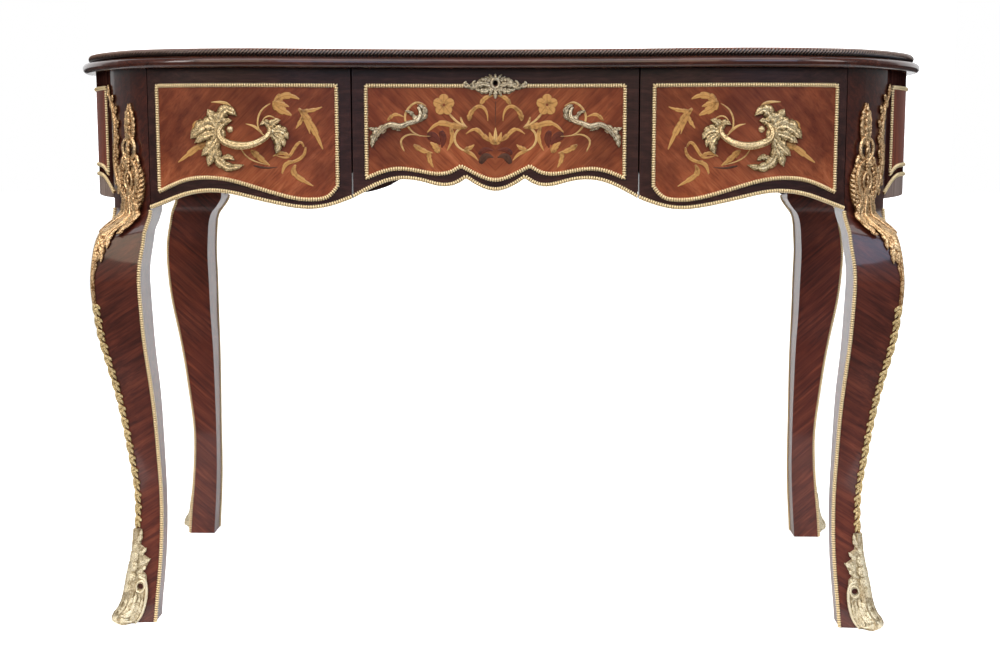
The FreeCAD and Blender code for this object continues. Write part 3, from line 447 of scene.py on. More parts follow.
def mend(mesh, merge=0.004):
    """Joins doubled points, turns the faces outward and shades them smooth."""
    work = bmesh.new()
    work.from_mesh(mesh)
    bmesh.ops.remove_doubles(work, verts=work.verts, dist=merge * MM)
    bmesh.ops.dissolve_degenerate(work, edges=work.edges, dist=merge * MM * 0.5)
    bmesh.ops.recalc_face_normals(work, faces=work.faces)
    for face in work.faces:
        face.smooth = True
    work.to_mesh(mesh)
    work.free()
    return mesh


def place(mesh, name, body, finish, slot, covers=()):
    """Hangs a finished mesh on its body and hides the plain solids it takes the place of."""
    piece = bpy.data.objects.new(name, mesh)
    bpy.context.scene.collection.objects.link(piece)
    mesh.materials.clear()
    mesh.materials.append(finish)
    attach(piece, body)
    if covers:
        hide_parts(*covers)
    print(name, len(mesh.polygons), "faces")
    return piece


def leaf(wax, spot, path, width, crown=2.4, lift=0.3, lobes=4, cut=0.35, curl=0.0, thick=1.6, base=0.5):
    """An acanthus leaf: rounded lobes with deep notches and a grooved middle rib, with painted shade on its
    edges and notches and two dark painted lines along it for veins.
    """
    rows = 6 * lobes + 3
    line = smooth_path([tuple(p) + (lift,) if len(p) == 2 else p for p in path], rows)
    t = np.linspace(0, 1, rows)
    along = np.gradient(line[:, :2], axis=0)
    along /= np.linalg.norm(along, axis=1)[:, None]
    swell = np.sin(math.pi * (0.04 + 0.955 * t) ** 0.82)
    swell = np.maximum(swell, base * (1 - t) ** 1.5) ** 0.7
    notch = np.sqrt(np.abs(np.sin(math.pi * (lobes * t + 0.12))))
    half = 0.5 * width * swell * (1 - cut * (1 - notch))
    v = np.array([-1, -0.8, -0.5, -0.2, 0, 0.2, 0.5, 0.8, 1])
    wide = np.abs(v)[None, :]
    body = 1 - 0.9 * wide ** 2.4 - 0.5 * np.exp(-(v / 0.17) ** 2)[None, :]
    body = body - 0.45 * (1 - notch)[:, None] * wide
    body = body + 0.12 * np.cos(6 * math.pi * lobes * t)[:, None] * wide
    ground = line[:, 2] + curl * t ** 2
    height = ground[:, None] + crown * (swell ** 0.6)[:, None] * body
    under = np.maximum(UNDERSIDE, ground - thick)
    across = np.concatenate([v, [0.7, 0.0, -0.7]])
    high = np.hstack([height, np.repeat(under[:, None], 3, axis=1)])
    u = line[:, 0:1] - along[:, 1:2] * half[:, None] * across
    z = line[:, 1:2] + along[:, 0:1] * half[:, None] * across
    # Painted shade: darker towards the edges, in the middle groove and the notches, and along two lines
    # that stand for veins.
    veined = 0.05 + 0.95 * body - 0.34 * (wide == 0.5) - 0.2 * (1 - notch)[:, None]
    shade = np.hstack([np.clip(veined, 0, 1), np.zeros((rows, 3))])
    wax.skin(spot(u, z, high), shade)


def bar(wax, spot, path, radii, sides=10, count=None, ribs=0.0, flat=1.0):
    """A round or ribbed bar along (u, z, height) places."""
    count = count or 6 * len(path)
    line = smooth_path(path, count)
    centre = spot(line[:, 0], line[:, 1], line[:, 2])
    out = spot(line[:, 0], line[:, 1], line[:, 2] + 1.0) - centre
    along = np.gradient(centre, axis=0)
    along /= np.linalg.norm(along, axis=1)[:, None]
    side = np.cross(along, out)
    side /= np.maximum(np.linalg.norm(side, axis=1), 1e-6)[:, None]
    up = np.cross(side, along)
    t = np.linspace(0, 1, count)
    size = np.interp(t, np.linspace(0, 1, len(radii)), radii)
    angle = np.linspace(0, 2 * math.pi, sides, endpoint=False)
    fluted = np.cos(sides // 4 * angle + math.pi / 2) if ribs else np.ones(sides)
    wave = size[:, None] * (1 + ribs * fluted[None, :])
    ring = centre[:, None, :] + side[:, None, :] * (wave * np.cos(angle))[:, :, None] \
        + up[:, None, :] * (wave * flat * np.sin(angle))[:, :, None]
    # Painted highlight on the side away from the wood, painted shade towards the wood and in the grooves of
    # a ribbed bar.
    wax.skin(ring, np.clip((0.45 + 0.55 * np.sin(angle)) * (0.7 + 0.3 * fluted), 0, 1)[None, :])


def boss(wax, spot, u, z, radius, height, lift=0.0, sides=14, tone=1.0, tall=1.0):
    """A domed button, round or oval, in painted shade towards its foot; a tone of none paints it all in
    shade, as dark as a hole.
    """
    angle = np.linspace(0, 2 * math.pi, sides, endpoint=False)
    rings, shade = [], []
    for turn in (0.0, 0.25, 0.5, 0.75, 0.93):
        wide = radius * math.cos(turn * math.pi / 2)
        top = lift + height * math.sin(turn * math.pi / 2)
        rings.append(spot(u + wide * np.cos(angle), z + tall * wide * np.sin(angle), top))
        # Painted shade: each ring is darker the nearer it lies to the foot, times the tone.
        shade.append(np.full(sides, tone * min(1.0, 0.2 + turn)))
    base = spot(u + radius * np.cos(angle), z + tall * radius * np.sin(angle), lift - 0.6)
    wax.skin([base] + rings, np.vstack([np.zeros(sides)] + shade))


def pad(wax, spot, rows, crown, lift=1.0, steps=40):
    """A domed ground under relief; rows are heights with their half widths."""
    heights, halves = np.array(rows, float).T
    z = np.linspace(heights[0], heights[-1], steps)
    half = np.maximum(spline_through(heights, halves[:, None], z)[:, 0], 0.4)
    v = np.linspace(-1, 1, 13)
    end = np.sqrt(np.clip(np.minimum(z - z[0], z[-1] - z) / (0.12 * (z[-1] - z[0])), 0.02, 1))
    dome = np.sqrt(np.clip(1 - v ** 2, 0, 1))
    u = half[:, None] * np.concatenate([v, v[::-1]])
    h = np.hstack([lift + crown * end[:, None] * dome, np.full((steps, 13), UNDERSIDE)])
    # Painted shade: the ground is darker towards its edges than along its crown.
    shade = np.hstack([np.repeat(0.12 + 0.3 * dome[None, :], steps, axis=0), np.zeros((steps, 13))])
    wax.skin(spot(u, np.repeat(z[:, None], 26, axis=1), h), shade)


def inlay(wax, spot, path, width, lift, tip=0.7, lobes=0, full=0.7):
    """A flat piece of marquetry, a hair above the ground so that both can be seen."""
    rows = max(16, 8 * len(path))
    line = smooth_path(path, rows)
    t = np.linspace(0, 1, rows)
    along = np.gradient(line, axis=0)
    along /= np.linalg.norm(along, axis=1)[:, None]
    swell = np.maximum(np.sin(math.pi * (0.04 + 0.96 * t) ** tip), 0.12) ** full
    if lobes:
        swell = swell * (1 - 0.36 * (1 - (t * lobes) % 1.0) ** 2)
    half = 0.5 * width * swell
    across = np.array([-1.0, -0.88, 0.0, 0.88, 1.0, 0.0])
    high = np.array([lift - 0.1, lift, lift, lift, lift - 0.1, lift - 0.5])
    u = line[:, 0:1] - along[:, 1:2] * half[:, None] * across
    z = line[:, 1:2] + along[:, 0:1] * half[:, None] * across
    length = np.repeat(t[:, None], len(across), axis=1)
    breadth = np.repeat(across[None, :], rows, axis=0) * 0.5 + 0.5
    wax.skin(spot(u, z, np.repeat(high[None, :], rows, axis=0)), 1.0, np.stack([length, breadth], -1))


print("shapes ready")

# %% [markdown]
# ## Growing a pattern along a line
# Beading and rope are one small shape repeated along a path, which is what Geometry Nodes does well.
# The tree takes a path, sets points at an even pitch, puts a shape on each and adds a core that holds
# the row together. Every bead keeps its relief, high on the crest and none on the flanks, and the core has
# none, so that the gaps can be painted in shade. The result becomes a plain mesh before it is hung on the
# desk.

# %% Node tree for beading and rope
def row_tree():
    """Shapes at an even pitch along every line of the path, tilted, on a core of round section."""
    tree = bpy.data.node_groups.new("row of beads", "GeometryNodeTree")
    face = tree.interface
    face.new_socket("Path", in_out="INPUT", socket_type="NodeSocketGeometry")
    for name in ("Pitch", "Core", "Tilt"):
        face.new_socket(name, in_out="INPUT", socket_type="NodeSocketFloat")
    face.new_socket("Size", in_out="INPUT", socket_type="NodeSocketVector")
    face.new_socket("Finish", in_out="INPUT", socket_type="NodeSocketMaterial")
    face.new_socket("Row", in_out="OUTPUT", socket_type="NodeSocketGeometry")
    given = tree.nodes.new("NodeGroupInput").outputs
    curve = add_node(tree, "GeometryNodeMeshToCurve", {"Mesh": given["Path"]})
    even = add_node(tree, "GeometryNodeResampleCurve",
                    {"Curve": curve.outputs[0], "Length": given["Pitch"]}, mode="LENGTH")
    ball = add_node(tree, "GeometryNodeMeshUVSphere", {"Segments": 8, "Rings": 6, "Radius": 1.0})
    where = tree.nodes.new("GeometryNodeInputPosition").outputs[0]
    flank = add_node(tree, "ShaderNodeSeparateXYZ", {0: where}).outputs["Y"]
    # Relief for painted shade: full on each bead's crest, none on its flanks.
    crest = math_node(tree, "SUBTRACT", 1.0, math_node(tree, "MULTIPLY", flank, flank))
    bead = add_node(tree, "GeometryNodeStoreNamedAttribute",
                    {"Geometry": ball.outputs[0], "Name": "relief", "Value": crest}, data_type="FLOAT")
    tilt = add_node(tree, "ShaderNodeCombineXYZ", {"X": given["Tilt"]})
    shaped = add_node(tree, "GeometryNodeTransform", {"Geometry": bead.outputs[0], "Scale": given["Size"]})
    leaning = add_node(tree, "GeometryNodeTransform",
                       {"Geometry": shaped.outputs[0], "Rotation": tilt.outputs[0]})
    heading = tree.nodes.new("GeometryNodeInputTangent")
    turned = add_node(tree, "FunctionNodeAlignRotationToVector", {"Vector": heading.outputs[0]}, axis="Y")
    beads = add_node(tree, "GeometryNodeInstanceOnPoints",
                     {"Points": even.outputs[0], "Instance": leaning.outputs[0],
                      "Rotation": turned.outputs[0]})
    ring = add_node(tree, "GeometryNodeCurvePrimitiveCircle", {"Resolution": 6, "Radius": given["Core"]})
    core = add_node(tree, "GeometryNodeCurveToMesh",
                    {"Curve": curve.outputs[0], "Profile Curve": ring.outputs["Curve"], "Fill Caps": True})
    both = add_node(tree, "GeometryNodeJoinGeometry", {"Geometry": beads.outputs[0]})
    tree.links.new(core.outputs[0], both.inputs[0])
    real = add_node(tree, "GeometryNodeRealizeInstances", {"Geometry": both.outputs[0]})
    soft = add_node(tree, "GeometryNodeSetShadeSmooth", {"Geometry": real.outputs[0]})
    made = add_node(tree, "GeometryNodeSetMaterial",
                    {"Geometry": soft.outputs[0], "Material": given["Finish"]})
    tree.links.new(made.outputs[0], tree.nodes.new("NodeGroupOutput").inputs[0])
    return tree


ROW_TREE = row_tree()


def grow_row(name, lines, closed, pitch, size, core, finish, tilt=0.0):
    """Runs the tree along lines of millimetre points and returns the plain mesh."""
    points, edges = [], []
    for line in lines:
        first = len(points)
        points += [tuple(c * MM for c in p) for p in line]
        edges += [(i, i + 1) for i in range(first, len(points) - 1)]
        if closed:
            edges.append((len(points) - 1, first))
    path = bpy.data.meshes.new(name + "_path")
    path.from_pydata(points, edges, [])
    carrier = bpy.data.objects.new(name + "_path", path)
    bpy.context.scene.collection.objects.link(carrier)
    grow = carrier.modifiers.new("row", "NODES")
    grow.node_group = ROW_TREE
    wanted = {"Pitch": pitch * MM, "Core": core * MM, "Tilt": tilt, "Finish": finish,
              "Size": [s * MM for s in size]}
    for item in ROW_TREE.interface.items_tree:
        if item.in_out == "INPUT" and item.name in wanted:
            grow[item.identifier] = wanted[item.name]
    bpy.context.view_layer.update()
    grown = carrier.evaluated_get(bpy.context.evaluated_depsgraph_get())
    mesh = bpy.data.meshes.new_from_object(grown)
    mesh.name = name
    bpy.data.objects.remove(carrier)
    return mesh


print("row tree has", len(ROW_TREE.nodes), "nodes")

# %% [markdown]
# ## Finishes
# Old polished veneer has three layers to it: the figure of the wood, fine dark pores along the grain,
# and slow changes of tone where sun and wax have been at work. One node group makes all three as plain
# values, and each kind of wood turns them into its own colours. Coordinates are the object's own, folded
# about the middle so that left and right are matched as sawn leaves of one log would be.

# %% Shared effects as node groups
def new_group(name, inputs, outputs):
    """A shader node group with float or vector inputs and float outputs."""
    tree = bpy.data.node_groups.new(name, "ShaderNodeTree")
    for key in inputs:
        kind = "NodeSocketVector" if key == "Vector" else "NodeSocketFloat"
        tree.interface.new_socket(key, in_out="INPUT", socket_type=kind)
    for key in outputs:
        tree.interface.new_socket(key, in_out="OUTPUT", socket_type="NodeSocketFloat")
    return tree, tree.nodes.new("NodeGroupInput").outputs, tree.nodes.new("NodeGroupOutput")


def noise(tree, vector, scale, detail=4.0, rough=0.55, bend=0.0):
    made = add_node(tree, "ShaderNodeTexNoise", {"Vector": vector, "Scale": scale, "Detail": detail,
                                                 "Roughness": rough, "Distortion": bend})
    return made.outputs["Fac"]


def vector_node(tree, operation, *values):
    """One step of arithmetic on vectors."""
    return add_node(tree, "ShaderNodeVectorMath", dict(enumerate(values)), operation=operation).outputs[0]


def parts_of(tree, vector):
    """The X, Y and Z sockets of a vector."""
    return add_node(tree, "ShaderNodeSeparateXYZ", {"Vector": vector}).outputs


def wood_group():
    """Figure, pores and tone of a wood whose grain runs at an angle."""
    tree, given, found = new_group("wood figure", ["Vector", "Angle", "Along", "Across"],
                                   ["Figure", "Pores", "Tone"])
    turned = add_node(tree, "ShaderNodeVectorRotate", {"Vector": given["Vector"], "Angle": given["Angle"]},
                      rotation_type="Y_AXIS").outputs[0]
    squeeze = add_node(tree, "ShaderNodeCombineXYZ",
                       {"X": given["Along"], "Y": given["Across"], "Z": given["Across"]}).outputs[0]
    drawn = vector_node(tree, "MULTIPLY", turned, squeeze)
    finer = vector_node(tree, "MULTIPLY", drawn, (2.0, 6.0, 6.0))
    set_inputs(tree, found, {"Figure": noise(tree, drawn, 1.0, 6.0, 0.6, 0.7),
                             "Pores": noise(tree, finer, 1.0, 2.0),
                             "Tone": noise(tree, given["Vector"], 11.0, 2.0, 0.5, 0.4)})
    return tree


def gilt_wear_and_shade_group():
    """Brightness, dust and chased lines of gilding: brightness follows the relief, as wear rubbed bright on
    crests, as painted highlight there and as painted shade in the hollows.
    """
    tree, given, found = new_group("gilt wear and painted shade", ["Vector", "Relief", "Scale"],
                                   ["Shine and painted light", "Dust", "Chasing"])
    speck = noise(tree, given["Vector"], 420.0, 4.0, 0.6)
    cloud = noise(tree, given["Vector"], 60.0, 3.0)
    bent = add_node(tree, "ShaderNodeTexNoise", {"Vector": given["Vector"], "Scale": 90.0, "Detail": 2.0})
    push = vector_node(tree, "MULTIPLY", bent.outputs["Color"], (0.012, 0.012, 0.012))
    wandering = vector_node(tree, "ADD", given["Vector"], push)
    cells = add_node(tree, "ShaderNodeTexVoronoi", {"Vector": wandering, "Scale": given["Scale"]},
                     feature="DISTANCE_TO_EDGE").outputs["Distance"]
    chased = add_node(tree, "ShaderNodeMapRange", {"Value": cells, "From Max": 0.16}).outputs[0]
    uneven = math_node(tree, "MULTIPLY_ADD", speck, 0.35, 0.5)
    # Painted light and wear: the value follows the relief, high on crests and low in hollows.
    shine_and_painted_light = math_node(tree, "SUBTRACT", math_node(tree, "ADD", given["Relief"], uneven), 0.2)
    lined = math_node(tree, "MULTIPLY_ADD", chased, 0.5, 0.5)
    hollow = math_node(tree, "SUBTRACT", 1.0, given["Relief"])
    set_inputs(tree, found, {"Shine and painted light": math_node(tree, "MULTIPLY", shine_and_painted_light, lined), "Chasing": chased,
                             "Dust": math_node(tree, "MULTIPLY", hollow, cloud)})
    return tree


WOOD, GILT_WEAR_AND_SHADE = wood_group(), gilt_wear_and_shade_group()
print("groups", WOOD.name, "and", GILT_WEAR_AND_SHADE.name)


# %% Woods
def ramp(tree, value, stops):
    """Colours set along a value; stops are (place, (r, g, b))."""
    node = add_node(tree, "ShaderNodeValToRGB", {"Fac": value})
    marks = node.color_ramp.elements
    while len(marks) < len(stops):
        marks.new(0.5)
    for mark, (at, colour) in zip(marks, stops):
        mark.position = at
        mark.color = (*colour, 1)
    return node.outputs["Color"]


def times(tree, share, colour, other):
    """A colour multiplied by another, by a share."""
    node = add_node(tree, "ShaderNodeMix", data_type="RGBA", blend_type="MULTIPLY")
    return set_inputs(tree, node, {0: share, 6: colour, 7: other}).outputs[2]


PORE_STOPS = [(0.36, (0.35, 0.3, 0.28)), (0.52, (1, 1, 1))]
TONE_STOPS = [(0.3, (0.55, 0.5, 0.48)), (0.7, (1.35, 1.3, 1.25))]
BLOT_STOPS = [(0.4, (0.55, 0.42, 0.44)), (0.58, (1.1, 1.1, 1.1))]


def wood(name, stops, angle, along=12.0, across=110.0, rough=0.34, coat=0.3, pores=0.4, tone=0.5,
         folded=True, mottle=0.3, tint_and_painted_light=None, lying=False, gloss=0.3):
    """A polished wood; the angle is the run of its grain, and a tint by height colours it, painted light
    where the tint changes with height.
    """
    finish, tree, shader, coords = new_finish(name)
    where = coords["Object"]
    if folded:
        where = vector_node(tree, "ABSOLUTE", where)
    if lying:
        part = parts_of(tree, where)
        where = add_node(tree, "ShaderNodeCombineXYZ",
                         {"X": part["X"], "Y": part["Z"], "Z": part["Y"]}).outputs[0]
    figure = add_node(tree, "ShaderNodeGroup", node_tree=WOOD)
    set_inputs(tree, figure, {"Vector": where, "Angle": math.radians(angle), "Along": along,
                              "Across": across})
    colour = ramp(tree, figure.outputs["Figure"], stops)
    colour = times(tree, pores, colour, ramp(tree, figure.outputs["Pores"], PORE_STOPS))
    colour = times(tree, tone, colour, ramp(tree, figure.outputs["Tone"], TONE_STOPS))
    colour = times(tree, mottle, colour, ramp(tree, noise(tree, where, 14.0, 3.0, 0.6), BLOT_STOPS))
    # Painted light: where the two tints differ, the wood is lighter lower down and darker higher up.
    if tint_and_painted_light:
        low, high, pale, deep = tint_and_painted_light
        height = parts_of(tree, coords["Object"])["Z"]
        share = add_node(tree, "ShaderNodeMapRange", {"Value": height, "From Min": low, "From Max": high})
        colour = times(tree, 1.0, colour, ramp(tree, share.outputs[0], [(0, pale), (1, deep)]))
    grain = add_node(tree, "ShaderNodeBump", {"Height": figure.outputs["Pores"], "Strength": 0.05,
                                              "Distance": 0.0004})
    set_inputs(tree, shader, {"Base Color": colour, "Roughness": rough, "Specular IOR Level": gloss,
                              "Coat Weight": coat, "Coat Roughness": 0.07, "Normal": grain.outputs[0]})
    return finish


RED = [(0.25, (0.15, 0.032, 0.011)), (0.45, (0.225, 0.054, 0.019)), (0.6, (0.285, 0.078, 0.03)),
       (0.8, (0.37, 0.115, 0.05))]
DARK = [(0.3, (0.019, 0.007, 0.006)), (0.5, (0.04, 0.014, 0.012)), (0.72, (0.075, 0.029, 0.022))]
POST = [(0.3, (0.04, 0.009, 0.006)), (0.5, (0.085, 0.018, 0.01)), (0.72, (0.16, 0.038, 0.019))]
EDGE = [(0.3, (0.035, 0.011, 0.008)), (0.55, (0.075, 0.021, 0.013)), (0.75, (0.12, 0.036, 0.022))]
# Pale grey for the end border strip, a painted reflection standing for sheen.
SHEEN_GREY = [(0.3, (0.2, 0.14, 0.115)), (0.55, (0.3, 0.225, 0.195)), (0.75, (0.4, 0.32, 0.285))]
OAK = [(0.3, (0.2, 0.11, 0.05)), (0.5, (0.32, 0.19, 0.09)), (0.7, (0.42, 0.27, 0.14))]
# Height tints: lower and upper height in metres, and the tint at each. On the fields and legs they are
# painted light, lighter lower down and darker higher up; on the ends the tint is even.
SIDE_PAINTED_LIGHT = (0.6, 0.73, (1.4, 1.48, 1.55), (0.88, 0.8, 0.76))
CENTRE_PAINTED_LIGHT = (0.6, 0.73, (1.25, 1.3, 1.3), (1.17, 1.15, 1.08))
END_TINT = (0, 1, (0.85, 0.62, 0.5), (0.85, 0.62, 0.5))
LEG_PAINTED_LIGHT = (0.12, 0.75, (1.55, 1.6, 1.75), (0.5, 0.46, 0.46))
BACK_LEG_PAINTED_LIGHT = (0.1, 0.5, (1.6, 1.6, 1.7), (1.4, 1.3, 1.25))
side_veneer = wood("side field veneer", RED, -45, mottle=0.75, tint_and_painted_light=SIDE_PAINTED_LIGHT)
centre_veneer = wood("centre field veneer", RED, 45, mottle=0.75, tint_and_painted_light=CENTRE_PAINTED_LIGHT)
end_veneer = wood("end field veneer", RED, 90, rough=0.5, coat=0.0, gloss=0.06, tint_and_painted_light=END_TINT)
border_wood = wood("dark border wood", DARK, 0, rough=0.36)
end_border_wood = wood("end border wood", DARK, 90, rough=0.5, coat=0.0, gloss=0.0)
front_leg_wood = wood("front leg veneer", POST, -32, along=8, across=170, coat=0.7, tint_and_painted_light=LEG_PAINTED_LIGHT)
back_leg_wood = wood("back leg veneer", POST, 42, along=8, across=170, coat=0.4, tint_and_painted_light=BACK_LEG_PAINTED_LIGHT)
# Painted reflection: the strip of end border below the arch is given a pale grey that stands for sheen.
sheen_tab_wood = wood("end border wood in painted sheen", SHEEN_GREY, 90, rough=0.5, coat=0.0, gloss=0.1)
edge_wood = wood("edge moulding wood", EDGE, 0, along=6, rough=0.26, coat=0.6)
top_wood = wood("top veneer", RED, -45, rough=0.26, coat=0.5, lying=True)
oak_wood = wood("oak", OAK, 0, along=9, across=240, rough=0.6, coat=0.0, pores=0.6, folded=False)
print("woods made")


# %% Metals and inlay woods
def relief_of(tree):
    """Relief of a vertex in its casting or row, which the finishes turn into wear and painted shade and
    highlight.
    """
    return add_node(tree, "ShaderNodeAttribute", attribute_name="relief").outputs["Fac"]


def gilding(name, hollow, body, crest, rough, chasing):
    """Fire-gilt bronze, chased with small strokes: dark brown in the hollows, as patina and as painted
    shade, and bright on the crests, as rubbed wear and as painted highlight.
    """
    finish, tree, shader, coords = new_finish(name)
    wear_and_shade = add_node(tree, "ShaderNodeGroup", node_tree=GILT_WEAR_AND_SHADE)
    set_inputs(tree, wear_and_shade, {"Vector": coords["Object"], "Relief": relief_of(tree), "Scale": chasing})
    colour = ramp(tree, wear_and_shade.outputs["Shine and painted light"], [(0.12, hollow), (0.5, body), (0.95, crest)])
    struck = add_node(tree, "ShaderNodeBump", {"Height": wear_and_shade.outputs["Chasing"], "Strength": 0.45,
                                               "Distance": 0.0008})
    dulled = math_node(tree, "MULTIPLY_ADD", wear_and_shade.outputs["Dust"], 0.7, rough)
    set_inputs(tree, shader, {"Base Color": colour, "Metallic": 0.92, "Normal": struck.outputs[0],
                              "Roughness": dulled})
    return finish


def carved(name, gap, flank, crest, rough, coat, metal, lit=None):
    """Finish of beads and strands: painted shade in the gaps, full colour on the crests, and painted shade
    lower down if asked.
    """
    finish, tree, shader, coords = new_finish(name)
    fleck = noise(tree, coords["Object"], 300.0, 3.0)
    uneven = math_node(tree, "MULTIPLY", relief_of(tree), math_node(tree, "ADD", fleck, 0.5))
    # Painted shade: the colour darkens from the upper of the given heights down to the lower.
    if lit:
        height = parts_of(tree, coords["Object"])["Z"]
        share = add_node(tree, "ShaderNodeMapRange",
                         {"Value": height, "From Min": lit[0], "From Max": lit[1]})
        uneven = math_node(tree, "MULTIPLY", uneven, share.outputs[0])
    colour = ramp(tree, uneven, [(0.06, gap), (0.32, flank), (0.7, crest)])
    set_inputs(tree, shader, {"Base Color": colour, "Metallic": metal, "Roughness": rough,
                              "Coat Weight": coat, "Coat Roughness": 0.1})
    return finish


def plain_metal(name, low, high, rough, scale=300.0, metal=0.95):
    """Metal without relief of its own, slightly clouded."""
    finish, tree, shader, coords = new_finish(name)
    colour = ramp(tree, noise(tree, coords["Object"], scale, 3.0), [(0.35, low), (0.65, high)])
    set_inputs(tree, shader, {"Base Color": colour, "Metallic": metal, "Roughness": rough})
    return finish


# Tone across a piece of inlay: its middle vein, its face and its scorched cut
CUT_STOPS = [(0.0, (0.62, 0.5, 0.42)), (0.06, (1, 1, 1)), (0.4, (1, 1, 1)), (0.5, (0.5, 0.38, 0.3))]


def inlay_wood(name, dark, light, coat=0.3):
    """Sand-shaded marquetry: dark at the root and along the cut, pale towards the tip."""
    finish, tree, shader, coords = new_finish(name)
    mark = parts_of(tree, coords["UV"])
    edge = math_node(tree, "ABSOLUTE", math_node(tree, "SUBTRACT", mark["Y"], 0.5))
    fleck = noise(tree, coords["Object"], 240.0, 3.0)
    shade = math_node(tree, "ADD", math_node(tree, "MULTIPLY", mark["X"], 0.45), fleck)
    colour = ramp(tree, shade, [(0.3, dark), (0.72, light)])
    set_inputs(tree, shader, {"Base Color": times(tree, 1.0, colour, ramp(tree, edge, CUT_STOPS)),
                              "Roughness": 0.4, "Specular IOR Level": 0.3, "Coat Weight": coat,
                              "Coat Roughness": 0.12})
    return finish


# Hollow colours are patina and painted shade; crest colours are rubbed gilt and painted highlight.
warm_gilt = gilding("warm gilding", (0.014, 0.006, 0.003), (0.25, 0.115, 0.042), (0.95, 0.66, 0.36),
                    0.29, 210)
pale_gilt = gilding("pale gilding", (0.02, 0.011, 0.005), (0.26, 0.175, 0.078), (0.78, 0.6, 0.34),
                    0.32, 260)
grey_gilt = gilding("worn gilding", (0.016, 0.011, 0.007), (0.2, 0.155, 0.095), (0.66, 0.55, 0.38),
                    0.34, 260)
toe_gilt = gilding("toe gilding", (0.03, 0.02, 0.01), (0.44, 0.34, 0.19), (0.92, 0.82, 0.6), 0.36, 300)
husk_gilt = gilding("husk gilding", (0.03, 0.017, 0.007), (0.42, 0.28, 0.11), (0.9, 0.72, 0.4), 0.36, 260)
# Gap colours are painted shade between ribs and strands. The rope's paler crest is a painted glint, and its
# lower side gets painted shade.
rib_brass = carved("ribbed brass", (0.06, 0.027, 0.01), (0.46, 0.275, 0.1), (0.95, 0.75, 0.43),
                   0.36, 0.0, 0.4)
rope_wood = carved("carved rope wood", (0.004, 0.003, 0.003), (0.025, 0.013, 0.01), (0.2, 0.12, 0.09),
                   0.22, 0.5, 0.0, (0.768, 0.779))
bead_brass = plain_metal("beading brass", (0.66, 0.46, 0.2), (0.9, 0.72, 0.4), 0.36, metal=0.6)
plate_gilt = plain_metal("plate gilding", (0.42, 0.23, 0.075), (0.72, 0.45, 0.17), 0.32)
foot_gilt = plain_metal("foot gilding", (0.36, 0.26, 0.14), (0.8, 0.68, 0.46), 0.42, scale=380.0, metal=0.7)
lock_brass = plain_metal("lock brass", (0.45, 0.33, 0.14), (0.6, 0.46, 0.22), 0.35)
steel = plain_metal("steel", (0.3, 0.3, 0.3), (0.45, 0.45, 0.46), 0.35)
tan_inlay = inlay_wood("tan inlay", (0.19, 0.075, 0.02), (0.6, 0.31, 0.095))
pale_inlay = inlay_wood("pale inlay", (0.36, 0.17, 0.055), (0.72, 0.45, 0.17))
dark_inlay = inlay_wood("dark inlay", (0.03, 0.01, 0.006), (0.1, 0.04, 0.022), coat=0.0)
red_inlay = inlay_wood("red shaded inlay", (0.045, 0.01, 0.006), (0.14, 0.03, 0.015), coat=0.0)
print("metals and inlay woods made")

# %% Finishes on the solids themselves
KINDS = [("edge_bead", bead_brass), ("frame_bead", bead_brass), ("beads", bead_brass),
         ("leg_mount", plate_gilt), ("leg_front", front_leg_wood), ("leg_back", back_leg_wood),
         ("sabot", foot_gilt), ("pull", plate_gilt), ("escutcheon", plate_gilt),
         ("top_edge_moulding", edge_wood), ("top_rope_edge", edge_wood), ("top_board", top_wood),
         ("screws", steel), ("lock_bolt", steel), ("lock_case", lock_brass), ("_front", border_wood),
         ("end_apron", end_border_wood), ("back_apron", border_wood)]
for name, thing in nodes.items():
    finish = next((made for key, made in KINDS if key in name), oak_wood)
    thing.data.materials.clear()
    thing.data.materials.append(finish)
print("solids finished")

# %% [markdown]
# ## Veneer fields
# Each drawer front is a dark border round a red field. The lower edge of the field follows the shaped
# frame: a long swing on the side drawers, a tongue between two wings in the middle. The field is a thin
# leaf laid on the front, its edge hidden under the brass frame.

# %% Lower edges of frames and fronts
# Every row is a share of the length and the drop below the underside of the top
SIDE_EDGE = [(0, 169.5), (.08, 177.5), (.2, 183), (.28, 181), (.38, 175.5), (.49, 168.5), (.6, 162),
             (.715, 161), (.82, 166.5), (.91, 175), (1, 184)]
SIDE_FRAME = [(0, 152), (.048, 166.5), (.115, 172.5), (.207, 172), (.324, 165.5), (.471, 154.5),
              (.605, 146), (.729, 144), (.828, 147), (.895, 152.5), (1, 164)]
CENTRE_TONGUE = [(0, 160), (.107, 154.7), (.209, 143)]
CENTRE_WING = [(.209, 143), (.283, 151.4), (.389, 153.7), (.512, 148), (.635, 144.7), (.74, 146.6),
               (.862, 155), (1, 168.7)]
FRAME_TONGUE = [(0, 147.7), (.135, 141), (.266, 129.2)]
FRAME_WING = [(.266, 129.2), (.339, 136.5), (.462, 139.4), (.615, 135), (.767, 133), (.883, 137.4),
              (1, 146)]
END_ARCH = [(0, 143.5), (.3, 143.8), (.55, 143.5), (.75, 143.8), (.87, 149), (.95, 158), (1, 166)]
END_EDGE = [(0, 170), (.5, 170.5), (.8, 171.5), (1, 172)]
END_FRAME = [(0, 130), (.3, 130.2), (.6, 130.2), (.8, 130.8), (.92, 135), (1, 143)]
FRAME_TOP = 735.0
BEAD_W = 4.5
SIDE_SPAN, CENTRE_HALF, END_HALF = (205.5, 447.5), 172.0, 182.0
SIDE_FRONT, CENTRE_FRONT = (189.5, 459.5), 187.5


def drop_line(rows, share):
    """Heights of a lower edge at shares of its length."""
    at, drops = zip(*rows)
    return TOP_UNDER - spline_through(at, np.array(drops)[:, None], share)[:, 0]


def folded(rows):
    """The rows mirrored about their start, so that the line is level in the middle."""
    return [(-at, drop) for at, drop in rows[:0:-1]] + list(rows)


